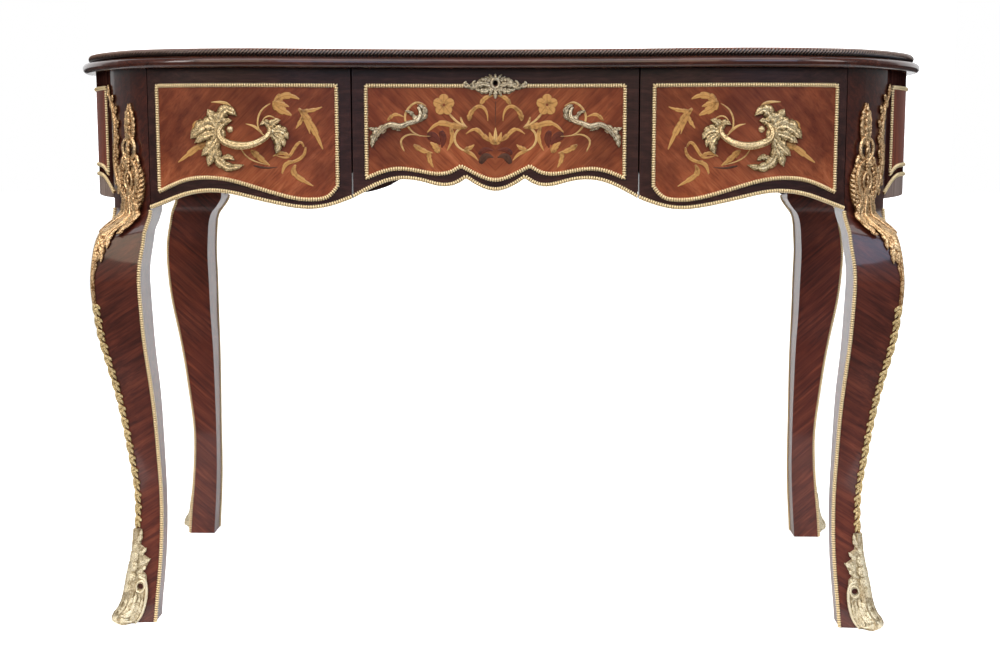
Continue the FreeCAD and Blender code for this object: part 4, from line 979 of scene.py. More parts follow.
def side_low(x, rows=SIDE_FRAME, span=SIDE_SPAN):
    return drop_line(rows, (np.abs(x) - span[0]) / (span[1] - span[0]))


def centre_low(x, tongue=FRAME_TONGUE, wing=FRAME_WING, half=CENTRE_HALF):
    share = np.clip(np.abs(np.asarray(x, float)) / half, 0, 1)
    return np.where(share < tongue[-1][0], drop_line(folded(tongue), np.minimum(share, tongue[-1][0])),
                    drop_line(wing, np.maximum(share, wing[0][0])))


def end_low(y, rows=END_FRAME, half=END_HALF):
    return drop_line(folded(rows), np.asarray(y, float) / half)


def end_arch_low(y):
    return end_low(y, END_ARCH, STILE_Y)


def end_edge_low(y):
    return end_low(y, END_EDGE, STILE_Y)


print("centre frame reaches down to", round(float(centre_low([0.0])[0]), 1))

# %% Leaves of veneer
# Rows of a leaf, close together at its edges to keep it flat
FIELD_ROWS = np.concatenate([[0, 0.004], np.linspace(0.09, 0.91, 10), [0.996, 1]])
INSET = 2.0


def field(spot, low, across, inset=INSET, lift=0.3, high=None):
    """A thin leaf of veneer between a lower line and the top of its frame, or another line."""
    sheet = Wax()
    bottom = low(across) + inset
    upper = np.full(len(across), FRAME_TOP) if high is None else high(across)
    rings = []
    for u, z0, z1 in zip(across, bottom, upper):
        z = z0 + (z1 - inset - z0) * FIELD_ROWS
        u = np.full(len(z), u)
        rings.append(np.vstack([spot(u, z, lift), spot(u, z[::-1], UNDERSIDE)]))
    sheet.skin(rings, 1.0)
    return sheet


side_across = np.linspace(SIDE_SPAN[0] + INSET, SIDE_SPAN[1] - INSET, 90)
centre_across = np.linspace(-CENTRE_HALF + INSET, CENTRE_HALF - INSET, 141)
end_across = np.linspace(-END_HALF + INSET, END_HALF - INSET, 90)
tab_across = np.linspace(-STILE_Y + 1, STILE_Y - 1, 90)
side_field = field(front_spot, side_low, side_across)
centre_field = field(front_spot, centre_low, centre_across)
end_field = field(end_spot, end_low, end_across)
end_tab = field(end_spot, end_edge_low, tab_across, 0.5, 0.25, end_arch_low)
back_side_field = field(back_spot, side_low, side_across)
back_centre_field = field(back_spot, centre_low, centre_across)
for side in ("right", "left"):
    place(side_field.mesh(side + "_field", mirror=side == "left"), side + "_drawer_field", side + "_drawer",
          side_veneer, "veneer")
place(centre_field.mesh("centre_field"), "centre_drawer_field", "centre_drawer", centre_veneer, "veneer")
place(end_field.mesh("end_fields", both=True), "end_fields", "desk", end_veneer, "veneer")
place(end_tab.mesh("end_tabs", both=True), "end_border_tabs", "desk", sheen_tab_wood, "dark_wood")
place(back_side_field.mesh("back_side_fields", both=True), "back_side_fields", "desk", side_veneer,
      "veneer")
place(back_centre_field.mesh("back_centre_field"), "back_centre_field", "desk", centre_veneer, "veneer")

# %% [markdown]
# ## Flower inlay
# The marquetry is cut from paler woods: tulips and sprays on the side drawers, an open flower, scrolls
# and a small palm in the middle. The strokes below are drawn on the right side (for the middle drawer on
# the left half) and mirrored, as the two sides of the picture nearly match. Dark red leaves lie a hair
# lower than the others, and a fine dark seam runs down the middle.

# %% Inlay strokes
# Every stroke is a width and the places it runs through
SIDE_STROKES = [
    (11, [(287, 710), (277, 718), (265, 719), (255, 715)]),
    (13, [(287, 713), (282, 704), (274, 699), (265, 694)]),
    (8, [(287, 711), (278, 709), (268, 705)]), (6.4, [(254, 699), (243, 700), (234, 702), (226, 705)]),
    (10, [(256, 703), (247, 692), (237, 675), (226, 650)]), (5, [(251, 693), (247, 686), (242, 670)]),
    (6.4, [(250, 694), (254, 686), (260, 677)]),
    (4.4, [(250, 653), (254, 659), (262, 652), (271, 640), (288, 643)]),
    (4.6, [(248, 653), (250, 644), (261, 635), (271, 631), (278, 618)]),
    (6, [(268, 640), (277, 645), (290, 641)]), (6, [(262, 634), (272, 632), (279, 619)]),
    (8, [(261, 630), (264, 622), (254, 611), (239, 602)]),
    (9, [(318, 649), (310, 642), (302, 635), (294, 629)]),
    (10, [(371, 656), (386, 654), (399, 646), (417, 633)]), (11, [(376, 683), (387, 684), (397, 669)])]
SIDE_STEMS = [
    (2.4, [(292, 709), (302, 702), (308, 690), (308, 679), (303, 670), (295, 667), (288, 670)]),
    (3.6, [(303, 671), (314, 680), (324, 683)]), (2.2, [(286, 690), (293, 693), (300, 690), (304, 683)]),
    (2.0, [(331, 651), (325, 642), (314, 635), (297, 630)]),
    (4.2, [(342, 702), (347, 708), (357, 711), (369, 711)])]
SIDE_DARK = [(3.0, [(315, 629), (299, 626), (284, 627)])]
CENTRE_STROKES = [
    (9, [(-38, 678), (-56, 681), (-73, 684), (-90, 672)]), (7, [(-41, 650), (-35, 651), (-28, 656)]),
    (5, [(-42, 648), (-32, 644), (-23, 635)]), (6.4, [(-60, 680), (-57, 667), (-64, 648)]),
    (5, [(-34, 690), (-29, 702), (-19, 706), (-12, 699), (-10, 687)]),
    (8, [(-35, 687), (-32, 698), (-24, 704)]),
    (7, [(-20, 708), (-13, 717), (-3, 720)]), (8, [(-1, 656), (-5, 663), (-8, 672)]),
    (7, [(-5, 660), (-16, 668), (-26, 676), (-39, 670)]), (8, [(-108, 656), (-95, 648), (-83, 645)]),
    (7.4, [(-88, 647), (-87, 636), (-82, 626)]), (10, [(-75, 645), (-79, 653), (-86, 659)]),
    (5.4, [(-142, 687), (-133, 695), (-120, 692)])]
CENTRE_STEMS = [
    (3.2, [(-62, 698), (-52, 687), (-38, 679)]), (3.2, [(-46, 692), (-43, 684), (-37, 679)]),
    (3.4, [(-37, 679), (-48, 676), (-54, 665), (-49, 653), (-37, 648), (-29, 654)]),
    (3.0, [(-91, 706), (-103, 711), (-113, 705), (-119, 692), (-114, 678), (-103, 669), (-86, 667)]),
    (2.8, [(-120, 647), (-124, 662), (-114, 669), (-99, 667)])]
CENTRE_DARK = [(9, [(-20, 631), (-12, 641), (-3, 639)])]
CENTRE_RED = [(12, [(-90, 669), (-82, 666), (-73, 656)]), (9, [(-72, 674), (-69, 664), (-71, 652)]),
              (7, [(-22, 643), (-14, 649), (-3, 648)])]
CENTRE_PALM = [(5.7, [(0, 656), (0, 667), (0, 678)])]
CENTRE_SEAM = [(1.1, [(0, 713), (0, 697), (0, 680)])]
# Middle of the open flower, then reach, width and number of its petals
FLOWER_U, FLOWER_Z, PETAL_REACH, PETAL_WIDTH, PETALS = -68, 708, 14.0, 13.0, 5
# Heights above the wood
INLAY_LIFT, RED_LIFT, PETAL_LIFT = 0.45, 0.42, 0.5
# Strokes wider than this are lobed
LOBED_FROM = 5


def strokes(rows, lobes=0, lift=INLAY_LIFT):
    """All strokes of one wood."""
    work = Wax()
    for width, path in rows:
        inlay(work, front_spot, path, width, lift, lobes=lobes if width > LOBED_FROM else 0)
    return work


for kind, rows, finish in (("leaves", SIDE_STROKES, tan_inlay), ("stems", SIDE_STEMS, pale_inlay),
                           ("shadow", SIDE_DARK, dark_inlay)):
    work = strokes(rows, lobes=3)
    for side in ("left", "right"):
        name = "%s_inlay_%s" % (side, kind)
        place(work.mesh(name, mirror=side == "left"), name, side + "_drawer", finish, "veneer")
work = strokes(CENTRE_STROKES, lobes=3)
for k in range(PETALS):
    angle = math.radians(90 + 360 / PETALS * k)
    across, rise = PETAL_REACH * math.cos(angle), PETAL_REACH * math.sin(angle)
    petal = [(FLOWER_U + across * share, FLOWER_Z + rise * share) for share in (0.12, 0.6, 1.0)]
    inlay(work, front_spot, petal, PETAL_WIDTH, PETAL_LIFT + 0.03 * k, tip=1.3, full=0.45)
name = "centre_inlay_leaves"
place(work.mesh(name, both=True), name, "centre_drawer", tan_inlay, "veneer")
for kind, rows, finish, both, lift in (("stems", CENTRE_STEMS, pale_inlay, True, INLAY_LIFT),
                                       ("shadow", CENTRE_DARK, dark_inlay, True, INLAY_LIFT),
                                       ("palm", CENTRE_PALM, pale_inlay, False, INLAY_LIFT),
                                       ("seam", CENTRE_SEAM, dark_inlay, False, INLAY_LIFT),
                                       ("red", CENTRE_RED, red_inlay, True, RED_LIFT)):
    name = "centre_inlay_" + kind
    place(strokes(rows, lift=lift).mesh(name, both=both), name, "centre_drawer", finish, "veneer")

# %% [markdown]
# ## Ribbed brass beading
# Thin brass strip rolled into tight ribs edges every frame, the shaped lower edges and the corners of
# the legs. Every rib is a small flattened bead about three millimetres from the next; a core keeps the
# row closed. Drawers carry their own rows, so that the brass travels with them.

# %% Beading rows
RIB_PITCH, RIB_SIZE, RIB_CORE = 3.2, (2.9, 1.72, 2.9), 1.5
HALF_BEAD, BEAD_LIFT, LINE_STEP = BEAD_W / 2, 0.5, 3.0
# Half length of the keyhole plate, and how far below the frame's top it covers the beading
PLATE_HALF, PLATE_DROP = 42, 10


def frame_loop(spot, low, first, last, step=LINE_STEP):
    """Middle line of a closed frame of beading."""
    across = np.linspace(first + HALF_BEAD, last - HALF_BEAD, int((last - first) / step))
    bottom = low(across) + HALF_BEAD
    top = FRAME_TOP - HALF_BEAD
    right = np.arange(bottom[-1] + step, top, step)
    left = np.arange(top - step, bottom[0], -step)
    u = np.concatenate([across, np.full(len(right), across[-1]), across[::-1],
                        np.full(len(left), across[0])])
    z = np.concatenate([bottom, right, np.full(len(across), top), left])
    return spot(u, z, BEAD_LIFT).tolist()


def open_loop(loop, half, top):
    """A frame opened along its top, where a plate takes the place of the beading."""
    kept = [not (abs(x) < half and z > top) for x, _, z in loop]
    first = next(i for i in range(len(loop)) if kept[i] and not kept[i - 1])
    turned = loop[first:] + loop[:first]
    return [point for point, keep in zip(turned, kept[first:] + kept[:first]) if keep]


def edge_line(spot, low, first, last, step=LINE_STEP):
    """Middle line of the beading along a lower edge."""
    across = np.linspace(first, last, int(abs(last - first) / step))
    return spot(across, low(across) + HALF_BEAD, BEAD_LIFT).tolist()


def turned_over(lines):
    """The lines mirrored to the left side."""
    return [[(-x, y, z) for x, y, z in line] for line in lines]


def bead_piece(name, body, loops, edges, covers):
    """Closed frames and open edges of beading as one piece."""
    parts = []
    for end, lines, closed in (("_frame", loops, True), ("_edge", edges, False)):
        if lines:
            parts.append(grow_row(name + end, lines, closed, RIB_PITCH, RIB_SIZE, RIB_CORE, rib_brass))
    joined = bmesh.new()
    for part in parts:
        joined.from_mesh(part)
    joined.to_mesh(parts[0])
    joined.free()
    place(parts[0], name, body, rib_brass, "brass_bead", covers)


def side_edge_low(x):
    return side_low(x, SIDE_EDGE, SIDE_FRONT)


def centre_edge_low(x):
    return centre_low(x, CENTRE_TONGUE, CENTRE_WING, CENTRE_FRONT)


right_frame = [frame_loop(front_spot, side_low, *SIDE_SPAN)]
right_edge = [edge_line(front_spot, side_edge_low, SIDE_FRONT[0] + 1, SIDE_FRONT[1] - 1)]
centre_frame = frame_loop(front_spot, centre_low, -CENTRE_HALF, CENTRE_HALF)
centre_lines = [open_loop(centre_frame, PLATE_HALF, FRAME_TOP - PLATE_DROP),
                edge_line(front_spot, centre_edge_low, 1 - CENTRE_FRONT, CENTRE_FRONT - 1)]
for drawer, loops, edges in (("right_drawer", right_frame, right_edge),
                             ("left_drawer", turned_over(right_frame), turned_over(right_edge)),
                             ("centre_drawer", [], centre_lines)):
    bead_piece(drawer + "_beading", drawer, loops, edges, [drawer + "_frame_bead", drawer + "_edge_bead"])
end_loop = [frame_loop(end_spot, end_low, -END_HALF, END_HALF)]
end_line = [edge_line(end_spot, end_arch_low, -STILE_Y, STILE_Y)]
bead_piece("end_beading", "desk", end_loop + turned_over(end_loop), end_line + turned_over(end_line),
           ["end_beads_left", "end_beads_right"])
back_loop = [frame_loop(back_spot, side_low, *SIDE_SPAN)]
back_middle = [frame_loop(back_spot, centre_low, -CENTRE_HALF, CENTRE_HALF)]
bead_piece("back_beading", "desk", back_loop + turned_over(back_loop) + back_middle, [], ["back_beads"])
leg_heights = np.linspace(2, STILE_FOOT - 2, 190)
leg_lines = []
for front in (True, False):
    inner, _, outer = leg_corners(front, leg_heights)
    sign = -1 if front else 1
    for corner in (inner, outer):
        leg_lines.append([(x, sign * y, z) for (x, y), z in zip(corner.tolist(), leg_heights.tolist())])
bead_piece("leg_beading", "desk", [], leg_lines + turned_over(leg_lines), ["leg_beads"])

# %% [markdown]
# ## Rope edge
# Above the rounded edge of the top runs a carved rope. Its strands lean all the same way, so it is the
# beading tree once more with a longer bead, tilted about the outward direction.

# %% Rope along the top
ROPE_OUT, ROPE_Z = 4.9, 774.6
ROPE_PITCH, ROPE_SIZE, ROPE_CORE, ROPE_TILT = 4.7, (4.6, 1.9, 7.0), 3.4, -46


def plan_loop(out, z, step):
    """The whole outline of the desk, moved outward, as one closed line."""
    right = PLAN[:, :2] + PLAN[:, 2:] * out
    run = np.concatenate([[0], np.cumsum(np.linalg.norm(np.diff(right, axis=0), axis=1))])
    at = np.linspace(0, run[-1], int(run[-1] / step))
    x, y = np.interp(at, run, right[:, 0]), np.interp(at, run, right[:, 1])
    whole = list(zip(x, y)) + list(zip(-x[-2:0:-1], y[-2:0:-1]))
    return [(px, py, z) for px, py in whole]


rope = grow_row("rope", [plan_loop(ROPE_OUT, ROPE_Z, LINE_STEP)], True, ROPE_PITCH, ROPE_SIZE, ROPE_CORE,
                rope_wood, tilt=math.radians(ROPE_TILT))
place(rope, "top_rope", "desk", rope_wood, "dark_wood", ["top_rope_edge"])

# %% [markdown]
# ## Drawer pulls
# The pulls are fixed castings: a curved bar that a hand can reach behind, rising from a small spray of
# leaves at one end and a large one at the other. Leaves are drawn flat on the front and given their own
# crown, and the bar climbs away from the wood between them.

# %% Side drawer pulls
# Leaves are width, lobes and path; paths are given about the middle of the pull
PULL_X, PULL_Z = 321.0, 656.0
SIDE_PULL_LEAVES = [
    (23, 4, [(37, 18), (50, 26), (63, 21), (76, 8)]), (16, 3, [(38, 16), (56, 12), (71, 2)]),
    (20, 4, [(37, 18), (44, 32), (52, 46)]), (19, 4, [(36, 18), (36, 36), (27, 45), (14, 37)]),
    (11, 3, [(35, 22), (29, 30), (20, 31)]), (18, 3, [(40, 12), (51, -4), (62, -14)]),
    (18, 3, [(41, 6), (48, -12), (53, -28)]), (16, 5, [(41, 6), (41, -16), (29, -28), (6, -26)]),
    (9, 3, [(35, -18), (26, -16), (18, -20)]), (9, 3, [(-27, 20), (-23, 29), (-15, 25)]),
    (12, 3, [(-29, 18), (-33, 29), (-42, 32)]), (15, 4, [(-29, 17), (-41, 19), (-51, 7)]),
    (14, 3, [(-30, 14), (-38, 5), (-35, -12)]), (12, 3, [(-31, 14), (-41, 10), (-46, -3)])]
SIDE_PULL_BAR = [(31, 27, 3.0), (36, 20, 6.0), (34, 10, 12.0), (22, 2, 18.0), (8, -1, 20.0), (-8, 1, 19.0),
                 (-20, 7, 15.0), (-28, 16, 9.0), (-28, 24, 4.0)]
SIDE_PULL_RADII = [2.0, 3.4, 4.2, 4.6, 4.7, 4.3, 3.8, 3.2, 2.0]
# Leaves wrapped on the two ends of the bar: width, crown, lobes and path
SIDE_PULL_WRAPS = [(8.0, 1.4, 4, [(37, 15, 11), (28, 6, 18.5), (12, 1, 22.5)]),
                   (6.5, 1.3, 3, [(-28, 17, 11), (-21, 8, 17), (-9, 2, 21)])]


def moved(path):
    """A path given about the middle of a side pull, put where it belongs."""
    return [(p[0] + PULL_X, p[1] + PULL_Z) + tuple(p[2:]) for p in path]


side_pull = Wax()
for width, lobes, path in SIDE_PULL_LEAVES:
    leaf(side_pull, front_spot, moved(path), width, 2.0 + width * 0.14, 1.0, lobes, 0.3, curl=2.5)
bar(side_pull, front_spot, moved(SIDE_PULL_BAR), SIDE_PULL_RADII, ribs=0.1, sides=24)
for u, z, radius in ((38, 14, 9.0), (24, 20, 4.5), (-30, 16, 6.5)):
    boss(side_pull, front_spot, PULL_X + u, PULL_Z + z, radius, radius * 0.75)
for width, crown, lobes, path in SIDE_PULL_WRAPS:
    leaf(side_pull, front_spot, moved(path), width, crown, 0, lobes, 0.4, thick=2)
for side in ("right", "left"):
    place(side_pull.mesh(side + "_pull", mirror=side == "left"), side + "_pull_casting", side + "_drawer",
          pale_gilt, "gilt_bronze", [side + "_drawer_pull"])

# %% Pulls of the middle drawer
CENTRE_PULL_BAR = [(-102, 705, 3), (-99, 698, 4), (-104, 687, 8), (-114, 684, 12.5), (-126, 680, 13.5),
                   (-138, 682, 11), (-150, 675, 6), (-157, 666, 3)]
CENTRE_PULL_RADII = [1.8, 2.6, 3.2, 3.4, 3.6, 3.4, 3.2, 2.2]
CENTRE_PULL_LEAVES = [
    (10, 4, [(-103, 687), (-94, 694), (-95, 704), (-103, 708)]),
    (12, 4, [(-148, 677), (-157, 670), (-163, 652)]),
    (7.5, 3, [(-149, 675), (-161, 676), (-167, 678)]), (6.5, 3, [(-142, 682), (-131, 677), (-124, 674)]),
    (6, 3, [(-106, 690), (-112, 698), (-119, 700)])]
centre_pull = Wax()
for width, lobes, path in CENTRE_PULL_LEAVES:
    leaf(centre_pull, front_spot, path, width, width * 0.34, 0.8, lobes, 0.34, curl=1.8)
bar(centre_pull, front_spot, CENTRE_PULL_BAR, CENTRE_PULL_RADII, ribs=0.1, sides=20)
boss(centre_pull, front_spot, -104, 689, 5.5, 4.0)
boss(centre_pull, front_spot, -149, 676, 6.0, 4.5)
for side in ("left", "right"):
    place(centre_pull.mesh("centre_pull_" + side[0], mirror=side == "right"), "centre_pull_casting_" + side,
          "centre_drawer", grey_gilt, "gilt_bronze", ["centre_pull_" + side])

# %% [markdown]
# ## Keyhole plate
# The plate is a cartouche: an oval ring round the keyhole, long leaves and scrolls to both sides
# and a drop below. Small domes in painted shade stand for the piercings of the casting.

# %% Keyhole plate
KEY_Z = 735.0
# Leaves on one side of the plate: width and path
PLATE_LEAVES = [(11, [(6, 733), (18, 735), (31, 732), (46, 735)]), (9, [(5, 730), (14, 726), (27, 729)]),
                (7, [(7, 739), (15, 741), (24, 738)]), (4.5, [(2.5, 741), (6, 745), (9, 748)]),
                (4.5, [(5, 740), (10, 743), (14, 745)]), (6, [(3, 729), (6, 724), (8, 719)])]


def oval(wax, spot, u, z, outer, inner, crown, lift=0.0, steps=36):
    """A domed ring between two ovals, with its inside open."""
    angle = np.linspace(0, 2 * math.pi, steps, endpoint=False)
    share = np.array([0.0, 0.2, 0.5, 0.8, 1.0, 1.0, 0.0])
    tall = np.array([0.35, 0.85, 1.0, 0.85, 0.35, 0.0, 0.0]) * crown + lift
    tall[5:] = UNDERSIDE
    wide = inner[0] + (outer[0] - inner[0]) * share
    high = inner[1] + (outer[1] - inner[1]) * share
    uu = u + np.cos(angle)[:, None] * wide[None, :]
    zz = z + np.sin(angle)[:, None] * high[None, :]
    ring = spot(uu, zz, np.repeat(tall[None, :], steps, axis=0))
    # Painted shade: dark at the ring's edges and brightest along its crown.
    shade = np.repeat(np.array([[0.2, 0.7, 1.0, 0.7, 0.2, 0.0, 0.0]]), steps, axis=0)
    wax.skin(ring, shade, loop=True)


def sided(side, *places):
    """Places drawn to the right of a middle line, for the side 1 or mirrored for the side -1."""
    return [(side * p[0],) + tuple(p[1:]) for p in places]


plate = Wax()
oval(plate, front_spot, 0, KEY_Z + 1, (7.2, 8.6), (2.8, 3.8), 3.0)
for side in (-1, 1):
    for width, path in PLATE_LEAVES:
        leaf(plate, front_spot, sided(side, *path), width, 2.4, 0.8, 4, 0.42)
    for u, radius in ((26, 5.0), (38, 3.8)):
        scroll = spiral(side * u, KEY_Z - 1, radius, 1.0, 90, -side * 1.2, 2.4)
        bar(plate, front_spot, scroll, [1.4, 1.1], count=20)
    # Piercings: domes painted in shade, as dark as holes.
    for u, z in ((15, 731), (21, 730), (32, 733)):
        boss(plate, front_spot, side * u, z, 1.4, 0.6, 2.6, 10, tone=0.0)
leaf(plate, front_spot, [(0, 741), (0, 745), (0, 749)], 5, 2.4, 1.0, 3, 0.3)
leaf(plate, front_spot, [(0, 729), (0, 723), (0, 716)], 8, 2.6, 1.0, 3, 0.35)
boss(plate, front_spot, 0, 718, 2.2, 2.0, 0.6, 10)
place(plate.mesh("keyhole_plate"), "keyhole_plate", "centre_drawer", grey_gilt, "gilt_bronze",
      ["keyhole_escutcheon"])

# %% [markdown]
# ## Leg mounts
# On each corner a tall mount climbs from the foot to the frieze: a chain of husks along the sharp edge,
# a leaf that spreads over the knee, a cartouche on the post with piercings painted as dark domes of shade,
# and a plume above it. A side branch leaves the cartouche on the end of the desk. Everything is drawn in u
# and height on the leg's surface.

# %% Plume and cartouche
# Outline of the cartouche and of the plume: height and half width
SHIELD = [(566, 12), (576, 19), (589, 24.5), (602, 26.5), (614, 25.5), (626, 20), (636, 12), (641, 6)]
SPINDLE = [(652, 5), (664, 8.5), (676, 10), (690, 8.5), (702, 5), (711, 1)]


def plume(wax, spot):
    """Leafy tip, the loop below it and the bow that ties the loop to the cartouche."""
    pad(wax, spot, SPINDLE, 2.6, 1.5)
    leaf(wax, spot, [(0, 655, 3.5), (0, 676, 4.5), (0, 694, 4.5), (0, 710, 4)], 13, 3.4, 3, 6, 0.45)
    leaf(wax, spot, [(0, 634, 4), (0, 648, 6), (0, 664, 4)], 9, 3.4, 4, 3, 0.4)
    for side in (-1, 1):
        for z, reach in ((656, 8), (664, 10), (672, 11), (680, 10.5), (688, 8)):
            path = sided(side, (2, z), (reach * 0.75, z + 5), (reach, z + 13))
            leaf(wax, spot, path, 8, 2.8, 2.5, 3, 0.42)
        loop = sided(side, (3, 666, 4), (11, 660, 5), (13.5, 650, 5.5), (11, 641, 5), (5, 635, 4))
        bar(wax, spot, loop, [1.6, 2.3, 2.5, 2.3, 1.8])
        leaf(wax, spot, sided(side, (2, 634), (11, 641), (20, 635)), 9, 3.0, 3.5, 3, 0.4)
        bar(wax, spot, spiral(side * 15, 633, 5.0, 1.2, 90, -side * 1.1, 4.5), [2.2, 1.5], count=18)


def cartouche(wax, spot):
    """Swelling shield with a ragged rim of small leaves, an oval boss and scrolls; domes painted in shade
    stand for its piercings.
    """
    pad(wax, spot, SHIELD, 4.0, 2.0)
    heights, halves = np.array(SHIELD, float).T
    for side in (-1, 1):
        for z in np.linspace(570, 633, 11):
            half = float(np.interp(z, heights, halves))
            rim = sided(side, (half * 0.5, z - 4, 6.5), (half * 0.82, z - 1, 5.5), (half + 1.5, z + 3, 3.0))
            leaf(wax, spot, rim, 8.0, 2.8, 4, 3, 0.42)
        scroll = sided(side, (6, 636, 6), (16, 628, 7.5), (20, 614, 8), (18, 598, 8), (11, 585, 7),
                       (4, 577, 7))
        bar(wax, spot, scroll, [1.4, 2.4, 2.8, 2.6, 2.2, 1.4], ribs=0.12)
        for u, z0, z1 in ((5, 572, 592), (11, 576, 598)):
            frond = sided(side, (u * 0.4, z0, 6.5), (u * 0.9, (z0 + z1) / 2, 7.5), (u, z1, 6))
            leaf(wax, spot, frond, 6, 2.4, 4, 3, 0.35)
        # Piercings: domes painted in shade, as dark as holes.
        boss(wax, spot, side * 14.5, 618, 2.6, 0.9, 6.2, tone=0.0, tall=1.9)
        boss(wax, spot, side * 14, 594, 2.4, 0.9, 6.0, tone=0.0, tall=1.8)
    oval(wax, spot, 0, 608, (10.5, 14.5), (6.5, 10), 3.6, 5.5)
    # Painted shade: the boss inside the ring is kept dark.
    boss(wax, spot, 0, 608, 6.0, 1.2, 5.4, tone=0.25, tall=1.6)
    leaf(wax, spot, [(0, 599, 6.5), (0, 608, 8.0), (0, 617, 6.5)], 6.0, 2.2, 4, 3, 0.35)
    leaf(wax, spot, [(0, 621, 7), (0, 630, 8), (0, 640, 5)], 14, 3.4, 4, 4, 0.42)


print("plume and cartouche drawn")

# %% Knee leaf, husks and branch
HUSK_TOP, HUSK_FOOT, HUSKS = 446.0, 130.0, 18
# Leaves on each side of the knee: width, crown, lift, lobes, cut, curl and path
KNEE_LEAVES = [(19, 4.4, 4, 4, 0.4, 3.5, [(4, 590, 6), (12, 572, 6.5), (18, 556, 6), (23, 539, 7)]),
               (10, 3.4, 4, 4, 0.42, 0.0, [(2, 584, 7), (8, 566, 7), (10, 550, 5.5), (13, 533, 4)]),
               (12, 3.0, 3, 4, 0.48, 0.0, [(3, 556, 4.5), (10, 538, 3.5), (14, 519, 3)]),
               (10, 2.8, 2, 4, 0.48, 0.0, [(2, 536, 3.5), (7, 519, 2.5), (9, 501, 2)])]
BRANCH_LINE = [(61, 722), (48, 706), (42, 688), (40, 670), (42, 652), (43, 634), (41, 616), (34, 600),
               (24, 588)]
BRANCH_RADII = [1.6, 2.8, 3.6, 3.6, 4.0, 4.2, 4.0, 3.4, 2.6]
# Leaves of the branch: where each starts and how far its tip reaches
BRANCH_LEAVES = [(60, 720, 3, 17), (55, 714, -8, 9), (49, 706, 8, 8), (45, 697, -8, 11), (42, 688, 8, 10),
                 (41, 678, -8, 11), (40, 668, 8, 10), (41, 657, -8, 11), (42, 648, 8, 10),
                 (43, 638, -8, 11), (43, 628, 8, 9), (42, 618, -7, 10), (40, 612, 7, -12),
                 (34, 600, 5, -12)]


def knee_leaf(wax, spot):
    """Leaf that falls from the cartouche over the knee and thins out into a plain stem."""
    stem = [(0, 540, 1.5), (0, 505, 1.2), (0, 478, 0.9), (0, HUSK_TOP - 2, 0.6)]
    bar(wax, spot, stem, [3.4, 3.2, 2.8, 2.6], count=30, ribs=0.12)
    middle = [(0, 600, 6), (0, 572, 6.5), (0, 545, 4.5), (0, 508, 2.0), (0, 482, 0.8)]
    leaf(wax, spot, middle, 24, 3.4, 4, 7, 0.5)
    for side in (-1, 1):
        for width, crown, lift, lobes, cut, curl, path in KNEE_LEAVES:
            leaf(wax, spot, sided(side, *path), width, crown, lift, lobes, cut, curl)
        boss(wax, spot, side * 21.5, 541, 4.2, 4.0, 6.0, tall=0.7)
        rib = sided(side, (3, 588, 9.5), (6, 568, 10), (7, 548, 8), (9, 530, 5.5))
        bar(wax, spot, rib, [1.0, 1.5, 1.3, 0.8])


def husk_chain(wax, spot):
    """Knotted husks along the sharp edge, smaller towards the foot."""
    step = (HUSK_TOP - HUSK_FOOT) / HUSKS
    for k in range(HUSKS):
        z = HUSK_TOP - k * step
        size = 1.0 - 0.12 * k / HUSKS
        tongue = [(0, z, 2.0), (0, z - step * 0.5, 2.6), (0, z - step * 1.05, 1.0)]
        leaf(wax, spot, tongue, 6.5 * size, 2.4, 1, 3, 0.4)
        boss(wax, spot, 0, z - 1, 2.8 * size, 3.0 * size, 0.8, 10)
        for side in (-1, 1):
            for reach, drop, width in ((6.6, 0.28, 5.2), (5.0, 0.8, 4.6)):
                path = sided(side, (1.2, z + 1 - step * 0.4 * drop, 1.6),
                             (reach * 0.6 * size, z - step * drop * 0.6, 2.0),
                             (reach * size, z - step * (drop + 0.16), 1.0))
                leaf(wax, spot, path, width * size, 1.8, 1, 2, 0.35)


def end_branch(wax, spot, room):
    """Leafy branch that climbs from the cartouche on the end of the desk."""
    bar(wax, spot, [(u * room, z, 2.0) for u, z in BRANCH_LINE], BRANCH_RADII, ribs=0.2)
    for u, z, du, dz in BRANCH_LEAVES:
        path = [(u * room, z), ((u + du * 0.7) * room, z + dz * 0.45), ((u + du) * room, z + dz)]
        leaf(wax, spot, path, 9.5, 2.8, 1.8, 3, 0.42)


for row, spot, room in (("front", front_leg_spot, 1.0), ("back", back_leg_spot, 0.68)):
    upper, lower = Wax(), Wax()
    plume(upper, spot)
    cartouche(upper, spot)
    end_branch(upper, spot, room)
    knee_leaf(upper, spot)
    husk_chain(lower, spot)
    for side in ("right", "left"):
        name = "leg_mount_%s_%s" % (row, side)
        mirror = side == "left"
        place(upper.mesh(name, mirror), name + "_casting", "desk", warm_gilt, "gilt_bronze", [name])
        place(lower.mesh(name + "_husks", mirror), name + "_husks", "desk", husk_gilt, "gilt_bronze")

# %% [markdown]
# ## Feet
# The foot casting hugs the sharp edge: jagged leaves above, a collar, a pierced eye on each face, a
# hollow shell with a raised rim below it and a small scroll toe. Wood and beading go on beside it down
# to the floor.

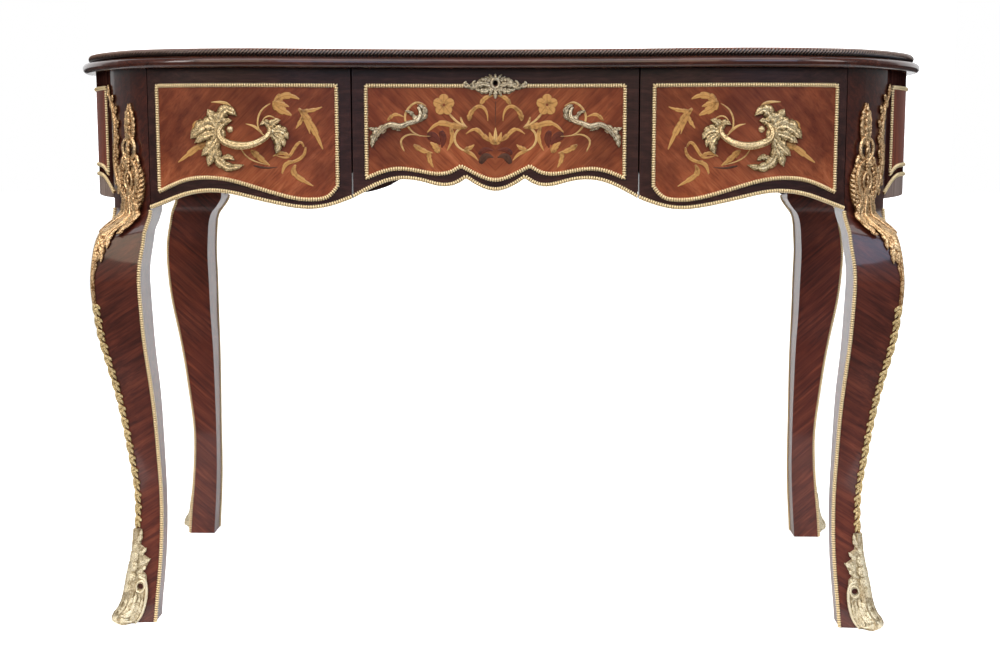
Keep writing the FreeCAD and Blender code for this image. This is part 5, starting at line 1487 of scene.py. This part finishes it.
# %% Foot castings
# Heights and how far the casting swells forward there
TOE_HEIGHTS, TOE_SWELL = [-2, 4, 10, 17, 24, 40, 66], [14, 18, 18.5, 14, 7.5, 1.5, 0]
FOOT_TONGUE = [(0, 44, 8), (0, 66, 8), (0, 84, 6), (0, 100, 4.5), (0, 116, 3.5), (0, 131, 2)]
FOOT_LEAVES = [(7, [(2, 108), (6, 117), (7, 130)]), (9, [(2, 92), (8, 96), (16, 104)]),
               (11, [(2, 78), (11, 83), (23, 89)]), (9, [(3, 70), (10, 72), (18, 80)]),
               (7, [(4, 63), (12, 66), (20, 65)])]
FOOT_RIM = [(9, 64, 4), (17, 61, 4), (22, 50, 4), (23, 36, 4), (21, 20, 4), (16, 7, 4), (12, 2, 4)]
RIM_RADII = [1.6, 2.0, 2.3, 2.4, 2.3, 2.2, 2.0]
# Flutes of the shell: foot and head of each
SHELL_FLUTES = [(11, 5, 19, 36), (8, 8, 15, 40), (5, 12, 9, 44), (2, 16, 3, 52)]


def toe_spot(spot):
    """Like the leg's surface, but swelling forward near the floor to carry the toe."""
    def raised(u, z, h):
        u, z, h = np.broadcast_arrays(np.asarray(u, float), z, h)
        near = np.clip(1 - np.abs(u) / 13.0, 0, 1)
        return spot(u, z, h + np.interp(z, TOE_HEIGHTS, TOE_SWELL) * near ** 0.6)
    return raised


def foot(spot):
    """The whole casting of one foot."""
    wax = Wax()
    toe = toe_spot(spot)
    leaf(wax, toe, FOOT_TONGUE, 15, 2.8, 3, 6, 0.35, thick=12)
    boss(wax, toe, 0, 8, 8.0, 4.0, 1.5, tall=0.85)
    for side in (-1, 1):
        for width, path in FOOT_LEAVES:
            leaf(wax, spot, sided(side, *path), width, 2.4, 3.2, 3, 0.42)
        oval(wax, spot, side * 13.5, 51, (7.5, 9.5), (4.2, 6.2), 2.6, 3.6)
        bar(wax, toe, sided(side, *FOOT_RIM), RIM_RADII)
        for u0, z0, u1, z1 in SHELL_FLUTES:
            path = sided(side, (u0, z0), ((u0 + u1) / 2 + 1.5, (z0 + z1) / 2), (u1, z1))
            leaf(wax, toe, path, 7.5, 2.4, 5.6, 3, 0.35, thick=6)
        start = 200 if side > 0 else -20
        bar(wax, toe, spiral(side * 6, 9, 6.5, 1.5, start, -side * 1.1, 4.2), [2.4, 1.6], count=22)
    return wax


for row, spot in (("front", front_leg_spot), ("back", back_leg_spot)):
    relief = foot(spot)
    for side in ("right", "left"):
        name = "sabot_%s_%s" % (row, side)
        place(relief.mesh(name, mirror=side == "left"), name + "_relief", "desk", toe_gilt, "gilt_bronze")
